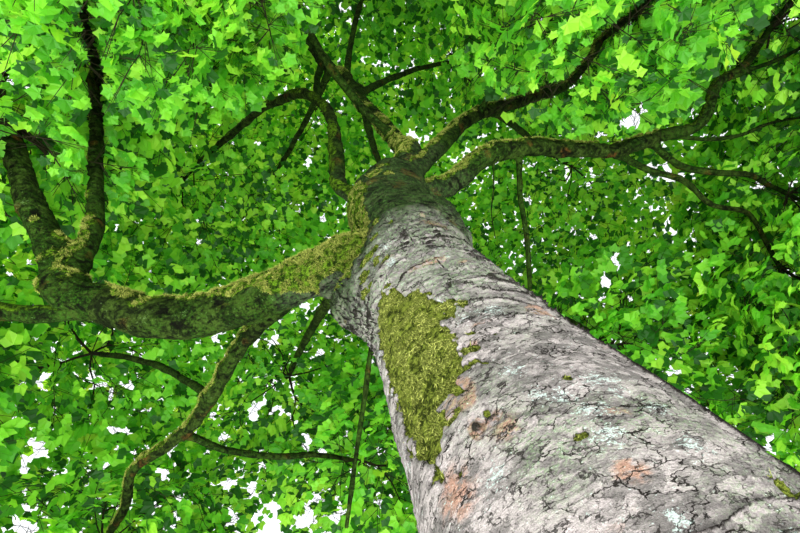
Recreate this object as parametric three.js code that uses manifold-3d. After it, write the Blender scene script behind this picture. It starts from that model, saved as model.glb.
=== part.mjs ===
// A broad old maple with a mossy trunk, five main boughs and a round crown of leaf masses.
// Millimetres, +Z up. The origin is the middle of the flat cut at ground level.
// Bearings are degrees from +Y towards +X, rises are degrees above level.
import * as THREE from 'three';
import { mergeVertices } from 'three/addons/utils/BufferGeometryUtils.js';
import Module from 'manifold-3d';

const wasm = await Module();
wasm.setup();

// The whole tree
const TREE_HEIGHT = 20000;
const CROWN_RADIUS = 9300;
const CROWN_WIDEST_AT = 8800;
const CROWN_SKIRT = 4300;
const CROWN_CURVE = { above: 2.3, below: 3.5 };
const SEAT_GAP = 0.3;

// The trunk: diameters and sideways shifts are evenly spaced from the ground to the top
const TRUNK_HEIGHT = 7350;
const TRUNK_SIDES = 22;
const TRUNK_DIAMETERS = [1330, 1200, 1160, 1140, 1070, 1020, 980, 940, 900, 850, 740];
const TRUNK_SHIFT_EAST = [0, 20, 0, -50, -60, 50, 420];
const TRUNK_SHIFT_NORTH = [0, 0, 0, 0, -30, -190, -380];
const ROOT_FLARE = { spread: 300, lobe: 150, lobes: 5, fade: 420, turn: 0.5 };
const TRUNK_DOME = 1050;
const DOME_TIP = 0.02;
const TRUNK_RINGS = { foot: [0, 120, 280, 500, 800, 1200], every: 330, dome: [0, 0.35, 0.6, 0.8, 0.93, 1] };
const SWELLINGS = [
  { name: 'burl', height: 5230, bearing: 78, out: 110, tall: 300, wide: 32 },
  { name: 'burl lip', height: 5500, bearing: 98, out: 50, tall: 150, wide: 34 },
  { name: 'left collar', height: 5060, bearing: -98, out: 350, tall: 560, wide: 34 },
  { name: 'left shoulder', height: 6250, bearing: -140, out: 100, tall: 380, wide: 44 },
  { name: 'right collar', height: 6750, bearing: 70, out: 100, tall: 300, wide: 34 },
];

// The boughs and limbs. Each starts inside the one it comes from, or goes on from its tip where "at"
// is 1. On the trunk "at" is a height, on a limb a share of its length. "foliage" is its mass's reach.
const LIMBS = [
  { name: 'left_bough', from: 'trunk', at: 5330, length: 3050, thick: [420, 335],
    bearings: [-116, -106, -94, -100, -108, -123, -142], rises: [7, 7, 5, 7, 9, 13, 26] },
  { name: 'left_bough_upper', from: 'left_bough', at: 1, length: 2650, thick: [335, 210],
    bearings: [-150, -170, -168, -179, -177], rises: [38, 51, 39, 42, 45], foliage: 2500 },
  { name: 'left_tall_limb', from: 'left_bough_upper', at: 0.15, length: 5200, thick: [200, 110],
    bearings: [123, 175, 174, 162, 164, 179, 162], rises: [58, 63, 54, 46, 49, 42, 40], foliage: 2500 },
  { name: 'left_outer_limb', from: 'left_bough', at: 0.97, length: 3000, thick: [180, 110],
    bearings: [-106, -121, -110, -95], rises: [8, 14, 12, 10], foliage: 2800 },
  { name: 'low_left_limb', from: 'trunk', at: 5950, length: 6650, thick: [210, 100],
    bearings: [-83, -83, -83, -73, -62, -60, -73, -90, -47, -55, -71],
    rises: [6, 7, 11, 14, 9, 10, 12, 8, 6, 10, 10], foliage: 2700 },
  { name: 'low_left_spur', from: 'low_left_limb', at: 0.62, length: 3300, thick: [110, 80],
    bearings: [-5, 19, 28, 16], rises: [22, 21, 26, 20], foliage: 2700 },
  { name: 'mid_left_limb', from: 'low_left_limb', at: 0.5, length: 3300, thick: [110, 80],
    bearings: [-112, -108, -100], rises: [52, 44, 36], foliage: 2900 },
  { name: 'right_bough', from: 'trunk', at: 6540, length: 4320, thick: [260, 170],
    bearings: [76, 64, 87, 73, 56, 58, 59, 67, 88], rises: [8, 19, 25, 20, 10, 7, 5, 6, 9] },
  { name: 'right_upper_limb', from: 'right_bough', at: 1, length: 3100, thick: [170, 105],
    bearings: [96, 110, 113, 78, 96, 102], rises: [18, 19, 24, 22, 24, 25], foliage: 2800 },
  { name: 'right_middle_limb', from: 'right_bough', at: 0.96, length: 3000, thick: [110, 80],
    bearings: [24, 36, 63, 45, 38], rises: [5, 3, 5, 10, 3], foliage: 2300 },
  { name: 'right_lower_limb', from: 'right_bough', at: 0.8, length: 3720, thick: [100, 70],
    bearings: [39, 38, 45, 28, 59, -4, 24], rises: [2, 5, 0, 1, 2, -15, -10], foliage: 2600 },
  { name: 'leader', from: 'trunk', at: 6900, length: 5500, thick: [300, 185],
    bearings: [97, 103, 189, 171, 212, 163, 179, 196, 194, 183],
    rises: [20, 75, 84, 71, 69, 64, 59, 53, 52, 53] },
  { name: 'leader_near_limb', from: 'leader', at: 1, length: 2900, thick: [185, 100],
    bearings: [180, 188, 196], rises: [53, 48, 44], foliage: 2900 },
  { name: 'leader_side_limb', from: 'leader', at: 0.76, length: 3600, thick: [130, 90],
    bearings: [140, 134, 128, 124], rises: [52, 48, 44, 42], foliage: 2800 },
  { name: 'leader_top_limb', from: 'leader', at: 0.93, length: 4500, thick: [160, 90],
    bearings: [-60, -40, -20], rises: [76, 76, 78], foliage: 3000 },
  { name: 'leader_back_limb', from: 'leader', at: 0.6, length: 6300, thick: [150, 90],
    bearings: [-10, -2, 4], rises: [62, 54, 48], foliage: 3100 },
  { name: 'leader_left_limb', from: 'leader', at: 0.87, length: 4700, thick: [140, 90],
    bearings: [-58, -62, -66], rises: [42, 42, 44], foliage: 3100 },
  { name: 'leader_right_limb', from: 'leader', at: 0.66, length: 5000, thick: [140, 90],
    bearings: [84, 78, 70], rises: [60, 52, 46], foliage: 2900 },
  { name: 'upright_limb', from: 'trunk', at: 6850, length: 7300, thick: [240, 110],
    bearings: [84, 87, 86, 86, 70, 73, 72, 80, 115, 97, 87],
    rises: [33, 49, 53, 47, 32, 26, 23, 22, 28, 22, 19], foliage: 2500 },
  { name: 'right_back_limb', from: 'upright_limb', at: 0.42, length: 4600, thick: [130, 90],
    bearings: [40, 36, 40], rises: [44, 40, 36], foliage: 3000 },
  { name: 'high_left_limb', from: 'trunk', at: 6250, length: 7600, thick: [200, 100],
    bearings: [-100, -206, -214, -160, -96, -86, -84, -82],
    rises: [30, 66, 70, 60, 48, 42, 40, 38], foliage: 3100 },
  { name: 'back_bough', from: 'trunk', at: 6350, length: 2700, thick: [300, 220],
    bearings: [10, 4, 0], rises: [40, 32, 26] },
  { name: 'back_low_limb', from: 'back_bough', at: 1, length: 3100, thick: [220, 110],
    bearings: [-6, -8, -8], rises: [10, 0, -4], foliage: 2600 },
  { name: 'back_right_limb', from: 'back_bough', at: 0.85, length: 3400, thick: [150, 100],
    bearings: [46, 34, 28], rises: [14, 6, 0], foliage: 2600 },
  { name: 'back_high_limb', from: 'back_bough', at: 0.93, length: 4300, thick: [160, 100],
    bearings: [6, 6, 8], rises: [50, 46, 44], foliage: 3000 },
  { name: 'back_left_limb', from: 'trunk', at: 6300, length: 6700, thick: [210, 100],
    bearings: [-52, -50, -46], rises: [44, 40, 38], foliage: 3000 },
  { name: 'near_right_limb', from: 'upright_limb', at: 0.62, length: 4400, thick: [120, 90],
    bearings: [126, 146, 152], rises: [16, 4, -8], foliage: 2700 },
  { name: 'right_hanging_limb', from: 'upright_limb', at: 0.36, length: 1300, thick: [90, 60],
    bearings: [124, 118], rises: [-6, -44], foliage: 2100 },
  { name: 'near_limb', from: 'leader', at: 0.3, length: 5200, thick: [130, 90],
    bearings: [200, 172, 160], rises: [18, 6, -4], foliage: 2600 },
  { name: 'near_hanging_limb', from: 'near_limb', at: 0.4, length: 1000, thick: [80, 60],
    bearings: [-150, -140], rises: [-10, -40], foliage: 2100 },
  { name: 'near_left_limb', from: 'left_tall_limb', at: 0.62, length: 2700, thick: [100, 80],
    bearings: [170, 150, 140], rises: [10, 0, -10], foliage: 2500 },
];
const STOUT_LIMB = 300;
const SLIM_LIMB = 180;
const LIMB_STEPS_PER_METRE = { stout: 2.4, other: 1.35 };
const LIMB_SIDES = { stout: 9, other: 7, slim: 5 };
const COLLAR = { swell: 0.3, fade: 0.9 };

// The masses of foliage: twigs that branch from one stem, and leaves that each stand for a spray
const MASS_MARGIN = 60;
const MASS_CENTRE_AT = 0.62;
const TWIG_ENDS = 7;
const TWIG_END_INSET = 420;
const DRAWS_PER_END = 60;
const STEM_LENGTH = 350;
const TWIG_TIP = 15;
const TWIG_SIDES = 3;
const STEM_SHARE = 0.85;
const TWIG_SINK = 0.8;
const TWIG_POINT = 0.4;
const PATH_WEIGHT = 0.35;
const SPRAYS_PER_END = 3;
const SPRAY = { shortest: 950, longest: 1900, width: 0.84, thick: 0.04, widestAt: 0.45 };
const SPRAY_ROOTS = { first: 22, apart: 60 };
const SPRAY_FANS = [0, 62, -62];
const SPRAY_TRIES = 40;
const SPRAY_SWING = { first: 20, more: 4 };
const SPRAY_LEVEL = 0.6;
const SPRAY_FACE = { level: 0.25, more: 0.6 };
const SPRAY_CLEARANCE = 8;
const LIMB_CLEARANCE = 25;
const JOIN_TOLERANCE = 0.5;

// Small helpers
const radians = THREE.MathUtils.degToRad;
const UP = new THREE.Vector3(0, 0, 1);

function seededDraw(seed) {
  let state = (seed * 2654435761) >>> 0;
  return () => {
    state = (Math.imul(state, 1664525) + 1013904223) >>> 0;
    return state / 4294967296;
  };
}

function heading(bearing, rise) {
  const level = Math.cos(radians(rise));
  return new THREE.Vector3(
    Math.sin(radians(bearing)) * level,
    Math.cos(radians(bearing)) * level,
    Math.sin(radians(rise)),
  );
}

function along(values, t) {
  const place = Math.min(Math.max(t, 0), 1) * (values.length - 1);
  const low = Math.min(Math.floor(place), values.length - 2);
  return THREE.MathUtils.lerp(values[low], values[low + 1], place - low);
}

// Solids from three.js geometry
function solidFrom(geometry) {
  const bare = geometry.clone();
  bare.deleteAttribute('normal');
  bare.deleteAttribute('uv');
  const merged = mergeVertices(bare, 1e-3);
  const corners = merged.index.array;
  const whole = [];
  for (let i = 0; i < corners.length; i += 3) {
    const [a, b, c] = corners.slice(i, i + 3);
    if (a !== b && b !== c && c !== a) whole.push(a, b, c);
  }
  return new wasm.Manifold(new wasm.Mesh({
    numProp: 3,
    vertProperties: new Float32Array(merged.attributes.position.array),
    triVerts: new Uint32Array(whole),
  }));
}

function geometryFrom(solid) {
  const mesh = solid.getMesh();
  const geometry = new THREE.BufferGeometry();
  geometry.setAttribute('position', new THREE.BufferAttribute(mesh.vertProperties, 3));
  geometry.setIndex(new THREE.BufferAttribute(mesh.triVerts, 1));
  return geometry;
}

// The largest body of a solid: scraps are dropped and sealed hollows are filled
function mainBody(solid) {
  const bodies = solid.decompose();
  return bodies.reduce((best, body) => (body.volume() > best.volume() ? body : best));
}

// Trunk
function trunkCentre(height) {
  const t = height / TRUNK_HEIGHT;
  return new THREE.Vector3(along(TRUNK_SHIFT_EAST, t), along(TRUNK_SHIFT_NORTH, t), height);
}

function bearingBetween(a, b) {
  return Math.abs(((a - b + 540) % 360 + 360) % 360 - 180);
}

function trunkRadius(height, bearing) {
  const angle = radians(bearing);
  const flare = Math.exp(-height / ROOT_FLARE.fade);
  const lobe = 0.5 + 0.5 * Math.cos(ROOT_FLARE.lobes * angle + ROOT_FLARE.turn);
  let radius = along(TRUNK_DIAMETERS, height / TRUNK_HEIGHT) / 2;
  radius += flare * (ROOT_FLARE.spread + ROOT_FLARE.lobe * lobe);
  for (const bump of SWELLINGS) {
    const up = (height - bump.height) / bump.tall;
    const round = bearingBetween(bearing, bump.bearing) / bump.wide;
    radius += bump.out * Math.exp(-up * up - round * round);
  }
  const intoDome = Math.max(0, height - (TRUNK_HEIGHT - TRUNK_DOME)) / TRUNK_DOME;
  return radius * Math.sqrt(Math.max(DOME_TIP, 1 - intoDome * intoDome));
}

function trunkHeights() {
  const domeFoot = TRUNK_HEIGHT - TRUNK_DOME;
  const footTop = TRUNK_RINGS.foot.at(-1);
  const shaftRings = Math.round((domeFoot - footTop) / TRUNK_RINGS.every) - 1;
  const shaft = Array.from({ length: shaftRings }, (_, i) => (
    THREE.MathUtils.lerp(footTop, domeFoot, (i + 1) / (shaftRings + 1))));
  const dome = TRUNK_RINGS.dome.map((part) => domeFoot + TRUNK_DOME * part);
  return [...TRUNK_RINGS.foot, ...shaft, ...dome];
}

function trunkGeometry(grow) {
  const heights = trunkHeights();
  const rings = heights.length - 1;
  const geometry = new THREE.CylinderGeometry(1, 1, 1, TRUNK_SIDES, rings);
  const position = geometry.attributes.position;
  for (let i = 0; i < position.count; i += 1) {
    const ring = Math.round((position.getY(i) + 0.5) * rings);
    const out = Math.hypot(position.getX(i), position.getZ(i));
    const bearing = THREE.MathUtils.radToDeg(Math.atan2(position.getX(i), -position.getZ(i)));
    const place = trunkCentre(heights[ring]);
    const radius = (trunkRadius(heights[ring], bearing) + grow) * Math.round(out);
    place.addScaledVector(heading(bearing, 0), radius);
    place.z += ring === rings ? grow : 0;
    position.setXYZ(i, place.x, place.y, place.z);
  }
  return geometry;
}

// Limbs: a closed cylinder bent along the limb's route, tapering, with a collar at its foot
function limbRoute(limb, start, firstHeading) {
  const perMetre = limb.thick[0] > STOUT_LIMB ? LIMB_STEPS_PER_METRE.stout : LIMB_STEPS_PER_METRE.other;
  const steps = Math.max(3, Math.round(limb.length / 1000 * perMetre));
  const points = [start.clone()];
  for (let i = 0; i < steps; i += 1) {
    const t = (i + 0.5) / steps;
    const way = heading(along(limb.bearings, t), along(limb.rises, t));
    if (i === 0 && firstHeading) way.copy(firstHeading);
    points.push(points[i].clone().addScaledVector(way, limb.length / steps));
  }
  return points;
}

function limbRadius(limb, t) {
  const plain = THREE.MathUtils.lerp(limb.thick[0], limb.thick[1], t) / 2;
  if (limb.at === 1) return plain;
  const reach = t * limb.length / (limb.thick[0] * COLLAR.fade);
  return plain * (1 + COLLAR.swell * Math.exp(-reach * reach));
}

function limbSides(limb) {
  if (limb.thick[0] > STOUT_LIMB) return LIMB_SIDES.stout;
  return limb.thick[0] > SLIM_LIMB ? LIMB_SIDES.other : LIMB_SIDES.slim;
}

function limbGeometry(limb, grow) {
  const steps = limb.points.length - 1;
  const geometry = new THREE.CylinderGeometry(1, 1, 1, limbSides(limb), steps);
  const position = geometry.attributes.position;
  for (let i = 0; i < position.count; i += 1) {
    const ring = Math.round((position.getY(i) + 0.5) * steps);
    const t = ring / steps;
    const frame = limb.frames[ring];
    const radius = limbRadius(limb, t) + grow;
    const place = limb.points[ring].clone();
    place.addScaledVector(frame.side, -position.getX(i) * radius);
    place.addScaledVector(frame.over, position.getZ(i) * radius);
    place.addScaledVector(frame.way, ring === steps ? grow : ring === 0 ? -grow : 0);
    position.setXYZ(i, place.x, place.y, place.z);
  }
  return geometry;
}

// A frame at each point of a route, carried along without twist
function routeFrames(points) {
  const frames = [];
  let side = null;
  for (let i = 0; i < points.length; i += 1) {
    const before = points[Math.max(0, i - 1)];
    const after = points[Math.min(points.length - 1, i + 1)];
    const way = after.clone().sub(before).normalize();
    side = side ? side.clone() : new THREE.Vector3().crossVectors(way, UP);
    side.addScaledVector(way, -side.dot(way)).normalize();
    frames.push({ way, side, over: new THREE.Vector3().crossVectors(way, side) });
  }
  return frames;
}

const trunk = { name: 'trunk' };
trunk.solid = solidFrom(trunkGeometry(0));
trunk.grown = solidFrom(trunkGeometry(SEAT_GAP));
const limbs = {};
for (const limb of LIMBS) {
  const parent = limbs[limb.from];
  if (!parent) {
    limb.points = limbRoute(limb, trunkCentre(limb.at));
  } else {
    const steps = parent.points.length - 1;
    const place = limb.at * steps;
    const low = Math.min(Math.floor(place), steps - 1);
    const start = parent.points[low].clone().lerp(parent.points[low + 1], place - low);
    const carriesOn = limb.at === 1 ? parent.frames[steps].way : null;
    if (carriesOn) start.addScaledVector(carriesOn, SEAT_GAP);
    limb.points = limbRoute(limb, start, carriesOn);
  }
  limb.frames = routeFrames(limb.points);
  limbs[limb.name] = limb;
}

const standing = [trunk];
for (const limb of LIMBS) {
  let solid = solidFrom(limbGeometry(limb, 0));
  for (const other of standing) solid = solid.subtract(other.grown);
  limb.solid = mainBody(solid);
  limb.grown = solidFrom(limbGeometry(limb, SEAT_GAP));
  standing.push(limb);
}

const limbSolids = standing.map((one) => one.solid);

// Foliage: each mass keeps to its own part of the crown
const masses = LIMBS.filter((limb) => limb.foliage).map((limb, index) => {
  const last = limb.points.length - 1;
  const tip = limb.points[last];
  const way = limb.frames[last].way;
  const centre = tip.clone().addScaledVector(way, limb.foliage * MASS_CENTRE_AT);
  return { name: `${limb.name}_foliage`, limb, tip, way, centre, reach: limb.foliage, seed: index + 1 };
});

function insideCrown(point) {
  const out = Math.hypot(point.x, point.y) / CROWN_RADIUS;
  const above = point.z > CROWN_WIDEST_AT;
  const half = above ? TREE_HEIGHT - CROWN_WIDEST_AT : CROWN_WIDEST_AT - CROWN_SKIRT;
  const up = Math.abs(point.z - CROWN_WIDEST_AT) / half;
  const curve = above ? CROWN_CURVE.above : CROWN_CURVE.below;
  return out ** curve + up ** curve < 1;
}

function insideMass(mass, point, margin) {
  const own = point.distanceTo(mass.centre);
  if (own > mass.reach - margin || !insideCrown(point)) return false;
  return masses.every((other) => {
    if (other === mass) return true;
    const between = other.centre.clone().sub(mass.centre);
    const apart = between.length();
    const past = point.clone().sub(mass.centre).dot(between) / apart;
    return past < apart / 2 - margin;
  });
}

// Twig ends spread evenly through the mass: of several draws, the one furthest from the rest
function twigEnds(mass, draw) {
  const ends = [];
  const taken = [mass.tip];
  for (let i = 0; i < TWIG_ENDS; i += 1) {
    let best = null;
    let bestGap = 0;
    for (let j = 0; j < DRAWS_PER_END; j += 1) {
      const offset = new THREE.Vector3(draw() - 0.5, draw() - 0.5, draw() - 0.5);
      const point = mass.centre.clone().addScaledVector(offset, 2 * mass.reach);
      if (!insideMass(mass, point, TWIG_END_INSET)) continue;
      const gap = Math.min(...taken.map((other) => other.distanceTo(point)));
      if (gap > bestGap) [best, bestGap] = [point, gap];
    }
    if (!best) continue;
    ends.push(best);
    taken.push(best);
  }
  return ends.sort((a, b) => a.distanceTo(mass.tip) - b.distanceTo(mass.tip));
}

// Each end joins the twig that gives it the shortest way back to the stem
function growTwigs(mass, ends) {
  const foot = mass.tip.clone().addScaledVector(mass.way, SEAT_GAP);
  const knuckle = foot.clone().addScaledVector(mass.way, STEM_LENGTH);
  const joints = [
    { point: foot, path: 0, from: null, carries: 0 },
    { point: knuckle, path: STEM_LENGTH, from: 0, carries: 0 },
  ];
  for (const end of ends) {
    let from = 1;
    let bestCost = Infinity;
    for (let i = 1; i < joints.length; i += 1) {
      const cost = joints[i].point.distanceTo(end) + PATH_WEIGHT * joints[i].path;
      if (cost < bestCost) [from, bestCost] = [i, cost];
    }
    const path = joints[from].path + joints[from].point.distanceTo(end);
    joints.push({ point: end, path, from, carries: 0, isEnd: true });
  }
  for (let i = joints.length - 1; i > 0; i -= 1) {
    joints[i].carries += joints[i].isEnd ? 1 : 0;
    joints[joints[i].from].carries += joints[i].carries;
  }
  return joints;
}

function twigThickness(mass, carries) {
  return Math.min(TWIG_TIP * Math.sqrt(carries), mass.limb.thick[1] / 2 * STEM_SHARE);
}

// A three-sided twig, pointed at its foot, which is sunk in the twig that it grows from
function twigGeometry(start, end, radius, neck) {
  const way = end.clone().sub(start);
  const length = way.length();
  const profile = [
    new THREE.Vector2(0, 0),
    new THREE.Vector2(radius, neck),
    new THREE.Vector2(radius, length - radius * TWIG_POINT),
    new THREE.Vector2(0, length),
  ];
  const geometry = new THREE.LatheGeometry(profile, TWIG_SIDES);
  const turned = new THREE.Quaternion().setFromUnitVectors(new THREE.Vector3(0, 1, 0), way.normalize());
  geometry.applyQuaternion(turned);
  return geometry.translate(start.x, start.y, start.z);
}

// A leaf blade: an octahedron drawn out into a flat kite from its root to its tip
function leafGeometry(root, way, face, length) {
  const side = new THREE.Vector3().crossVectors(face, way).normalize();
  const flat = new THREE.Vector3().crossVectors(way, side).normalize();
  const geometry = new THREE.OctahedronGeometry(1, 0);
  const position = geometry.attributes.position;
  for (let i = 0; i < position.count; i += 1) {
    const [x, y, z] = [position.getX(i), position.getY(i), position.getZ(i)];
    const forward = (Math.abs(x) > 0.5 ? (x > 0 ? 1 : 0) : SPRAY.widestAt) * length;
    const place = root.clone().addScaledVector(way, forward);
    place.addScaledVector(side, y * SPRAY.width * length / 2);
    place.addScaledVector(flat, z * SPRAY.thick * length / 2);
    position.setXYZ(i, place.x, place.y, place.z);
  }
  return geometry;
}

function corners(geometry) {
  const position = geometry.attributes.position;
  return Array.from({ length: position.count }, (_, i) => (
    new THREE.Vector3().fromBufferAttribute(position, i)));
}

function boxesMeet(a, b, gap) {
  return [0, 1, 2].every((k) => a.min[k] - gap < b.max[k] && b.min[k] - gap < a.max[k]);
}

function clearOf(solid, others, clearance) {
  const box = solid.boundingBox();
  return others.every((other) => (
    !boxesMeet(box, other.boundingBox(), clearance) || solid.minGap(other, clearance) >= clearance));
}

function massTwigs(mass, draw) {
  const joints = growTwigs(mass, twigEnds(mass, draw));
  const [foot, knuckle] = joints;
  knuckle.radius = twigThickness(mass, knuckle.carries);
  knuckle.onward = mass.way;
  const stem = new THREE.CylinderGeometry(knuckle.radius, knuckle.radius, STEM_LENGTH, TWIG_SIDES, 1);
  stem.translate(0, STEM_LENGTH / 2, 0);
  stem.applyQuaternion(new THREE.Quaternion().setFromUnitVectors(new THREE.Vector3(0, 1, 0), mass.way));
  knuckle.solid = solidFrom(stem.translate(foot.point.x, foot.point.y, foot.point.z));
  for (const joint of joints.slice(2)) {
    const base = joints[joint.from];
    if (!base.solid) continue;
    joint.radius = twigThickness(mass, joint.carries);
    const start = base.point.clone().addScaledVector(base.onward, -base.radius * TWIG_SINK);
    joint.onward = joint.point.clone().sub(start).normalize();
    const twig = solidFrom(twigGeometry(start, joint.point, joint.radius, base.radius));
    if (clearOf(twig, limbSolids, LIMB_CLEARANCE)) joint.solid = twig;
  }
  return joints.slice(1).filter((joint) => joint.solid);
}

// One leaf near the end of a twig: the longest of several draws that has room
function leafOn(mass, joint, order, draw, others) {
  const root = joint.point.clone();
  root.addScaledVector(joint.onward, -SPRAY_ROOTS.first - order * SPRAY_ROOTS.apart);
  for (let i = 0; i < SPRAY_TRIES; i += 1) {
    const length = THREE.MathUtils.lerp(SPRAY.longest, SPRAY.shortest, i / SPRAY_TRIES);
    const swing = SPRAY_SWING.first + SPRAY_SWING.more * i;
    const turn = radians(SPRAY_FANS[order] + (draw() - 0.5) * swing);
    const way = joint.onward.clone().applyAxisAngle(UP, turn);
    way.z = SPRAY_LEVEL * (way.z + draw() - 0.5);
    way.normalize();
    const up = SPRAY_FACE.level + SPRAY_FACE.more * draw();
    const face = new THREE.Vector3(draw() - 0.5, draw() - 0.5, up).normalize();
    const shape = leafGeometry(root, way, face, length);
    if (!corners(shape).every((corner) => insideMass(mass, corner, MASS_MARGIN))) continue;
    const leaf = solidFrom(shape);
    if (!clearOf(leaf, limbSolids, LIMB_CLEARANCE)) continue;
    if (clearOf(leaf, others, SPRAY_CLEARANCE)) return leaf;
  }
  return null;
}

function massSolid(mass) {
  const draw = seededDraw(mass.seed);
  const twigs = massTwigs(mass, draw);
  const leaves = [];
  for (let order = 0; order < SPRAYS_PER_END; order += 1) {
    for (const joint of twigs.slice(1)) {
      const others = twigs.filter((twig) => twig !== joint).map((twig) => twig.solid);
      const leaf = leafOn(mass, joint, order, draw, [...others, ...leaves]);
      if (leaf) leaves.push(leaf);
    }
  }
  const pieces = [...twigs.map((twig) => twig.solid), ...leaves];
  const joined = pieces.reduce((whole, piece) => whole.add(piece));
  return mainBody(joined.asOriginal().setTolerance(JOIN_TOLERANCE));
}

const materials = {
  bark: new THREE.MeshStandardMaterial({ color: 0x8d7866, roughness: 0.92, metalness: 0 }),
  limb: new THREE.MeshStandardMaterial({ color: 0x4a4030, roughness: 0.95, metalness: 0 }),
  foliage: new THREE.MeshStandardMaterial({ color: 0x3f8a1d, roughness: 0.6, metalness: 0 }),
};

const tree = new THREE.Group();
function addPiece(name, solid, material) {
  const mesh = new THREE.Mesh(geometryFrom(solid), material.clone());
  mesh.name = name;
  tree.add(mesh);
}
addPiece('trunk', trunk.solid, materials.bark);
for (const limb of LIMBS) addPiece(limb.name, limb.solid, materials.limb);
for (const mass of masses) addPiece(mass.name, massSolid(mass), materials.foliage);

export default tree;
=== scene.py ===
import itertools
import math

import bpy
import numpy as np
from mathutils import Matrix, Vector


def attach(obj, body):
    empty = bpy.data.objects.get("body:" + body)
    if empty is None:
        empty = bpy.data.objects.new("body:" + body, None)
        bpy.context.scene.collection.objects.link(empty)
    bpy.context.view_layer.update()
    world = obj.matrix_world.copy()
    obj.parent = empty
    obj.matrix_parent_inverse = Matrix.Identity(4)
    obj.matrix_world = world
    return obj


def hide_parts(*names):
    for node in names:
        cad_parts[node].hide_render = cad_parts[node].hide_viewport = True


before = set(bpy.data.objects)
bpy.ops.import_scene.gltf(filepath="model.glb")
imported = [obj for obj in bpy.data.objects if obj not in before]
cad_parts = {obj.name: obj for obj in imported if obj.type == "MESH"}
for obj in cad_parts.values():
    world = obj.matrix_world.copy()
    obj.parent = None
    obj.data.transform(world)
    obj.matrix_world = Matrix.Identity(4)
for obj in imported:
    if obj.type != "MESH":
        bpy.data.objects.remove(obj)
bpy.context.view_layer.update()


# Camera: it stands by the trunk at eye height and looks up along it
PHOTO_SIZE = (800, 533)
FOCAL_PIXELS = 444
VERTICALS_MEET = (315, 100)
CAMERA_TURN = math.radians(31)
EYE = np.array([-0.04, -1.60, 1.50])
SENSOR_WIDTH = 36


def unit(vectors):
    """Vectors along the last axis, at length 1."""
    return vectors / np.maximum(np.linalg.norm(vectors, axis=-1, keepdims=True), 1e-12)


def seen_from_camera(pixel):
    """A photo pixel as a direction in the camera's own axes: right, up and back."""
    return np.array([pixel[0] - PHOTO_SIZE[0] / 2, PHOTO_SIZE[1] / 2 - pixel[1], -FOCAL_PIXELS])


def camera_axes():
    """The tree's X, Y and Z, each in the camera's own axes."""
    up = unit(seen_from_camera(VERTICALS_MEET))
    turn = 100 * np.array([math.sin(CAMERA_TURN), math.cos(CAMERA_TURN)])
    north = seen_from_camera(np.array(VERTICALS_MEET) + turn)
    north = unit(north - north.dot(up) * up)
    return np.array([np.cross(north, up), north, up])


CAMERA_AXES = camera_axes()


def make_camera():
    data = bpy.data.cameras.new("camera")
    data.sensor_width = SENSOR_WIDTH
    data.lens = FOCAL_PIXELS / PHOTO_SIZE[0] * SENSOR_WIDTH
    data.clip_start, data.clip_end = 0.05, 300
    camera = bpy.data.objects.new("camera", data)
    place = np.eye(4)
    place[:3, :3] = CAMERA_AXES
    place[:3, 3] = EYE
    camera.matrix_world = Matrix(place.tolist())
    bpy.context.collection.objects.link(camera)
    bpy.context.scene.camera = camera


def pixels(points):
    """Photo pixels of points, and how far in front of the camera they lie."""
    own = (points - EYE) @ CAMERA_AXES
    depth = np.maximum(-own[..., 2], 1e-6)
    across = PHOTO_SIZE[0] / 2 + FOCAL_PIXELS * own[..., 0] / depth
    down = PHOTO_SIZE[1] / 2 - FOCAL_PIXELS * own[..., 1] / depth
    return across, down, -own[..., 2]


make_camera()


# The whole tree
TREE_HEIGHT = 20.0
CROWN_RADIUS = 9.3
CROWN_WIDEST_AT = 8.8
CROWN_SKIRT = 4.3
CROWN_CURVE = {"above": 2.3, "below": 3.5}

# The trunk: diameters and sideways shifts are evenly spaced from the ground to the top
TRUNK_HEIGHT = 7.35
TRUNK_DIAMETERS = [1.33, 1.20, 1.16, 1.14, 1.07, 1.02, 0.98, 0.94, 0.90, 0.85, 0.74]
TRUNK_SHIFT = {"east": [0, 0.02, 0, -0.05, -0.06, 0.05, 0.42], "north": [0, 0, 0, 0, -0.03, -0.19, -0.38]}
ROOT_FLARE = {"spread": 0.30, "lobe": 0.15, "lobes": 5, "fade": 0.42, "turn": 0.5}
TRUNK_DOME = 1.05
DOME_TIP = 0.02
SWELLINGS = [
    {"name": "burl", "height": 5.23, "bearing": 82, "out": 0.13, "tall": 0.28, "wide": 32},
    {"name": "burl lip", "height": 5.48, "bearing": 102, "out": 0.10, "tall": 0.13, "wide": 36},
    {"name": "left collar", "height": 5.06, "bearing": -98, "out": 0.35, "tall": 0.56, "wide": 34},
    {"name": "left shoulder", "height": 6.25, "bearing": -140, "out": 0.10, "tall": 0.38, "wide": 44},
    {"name": "right collar", "height": 6.75, "bearing": 70, "out": 0.10, "tall": 0.30, "wide": 34},
]

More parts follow.
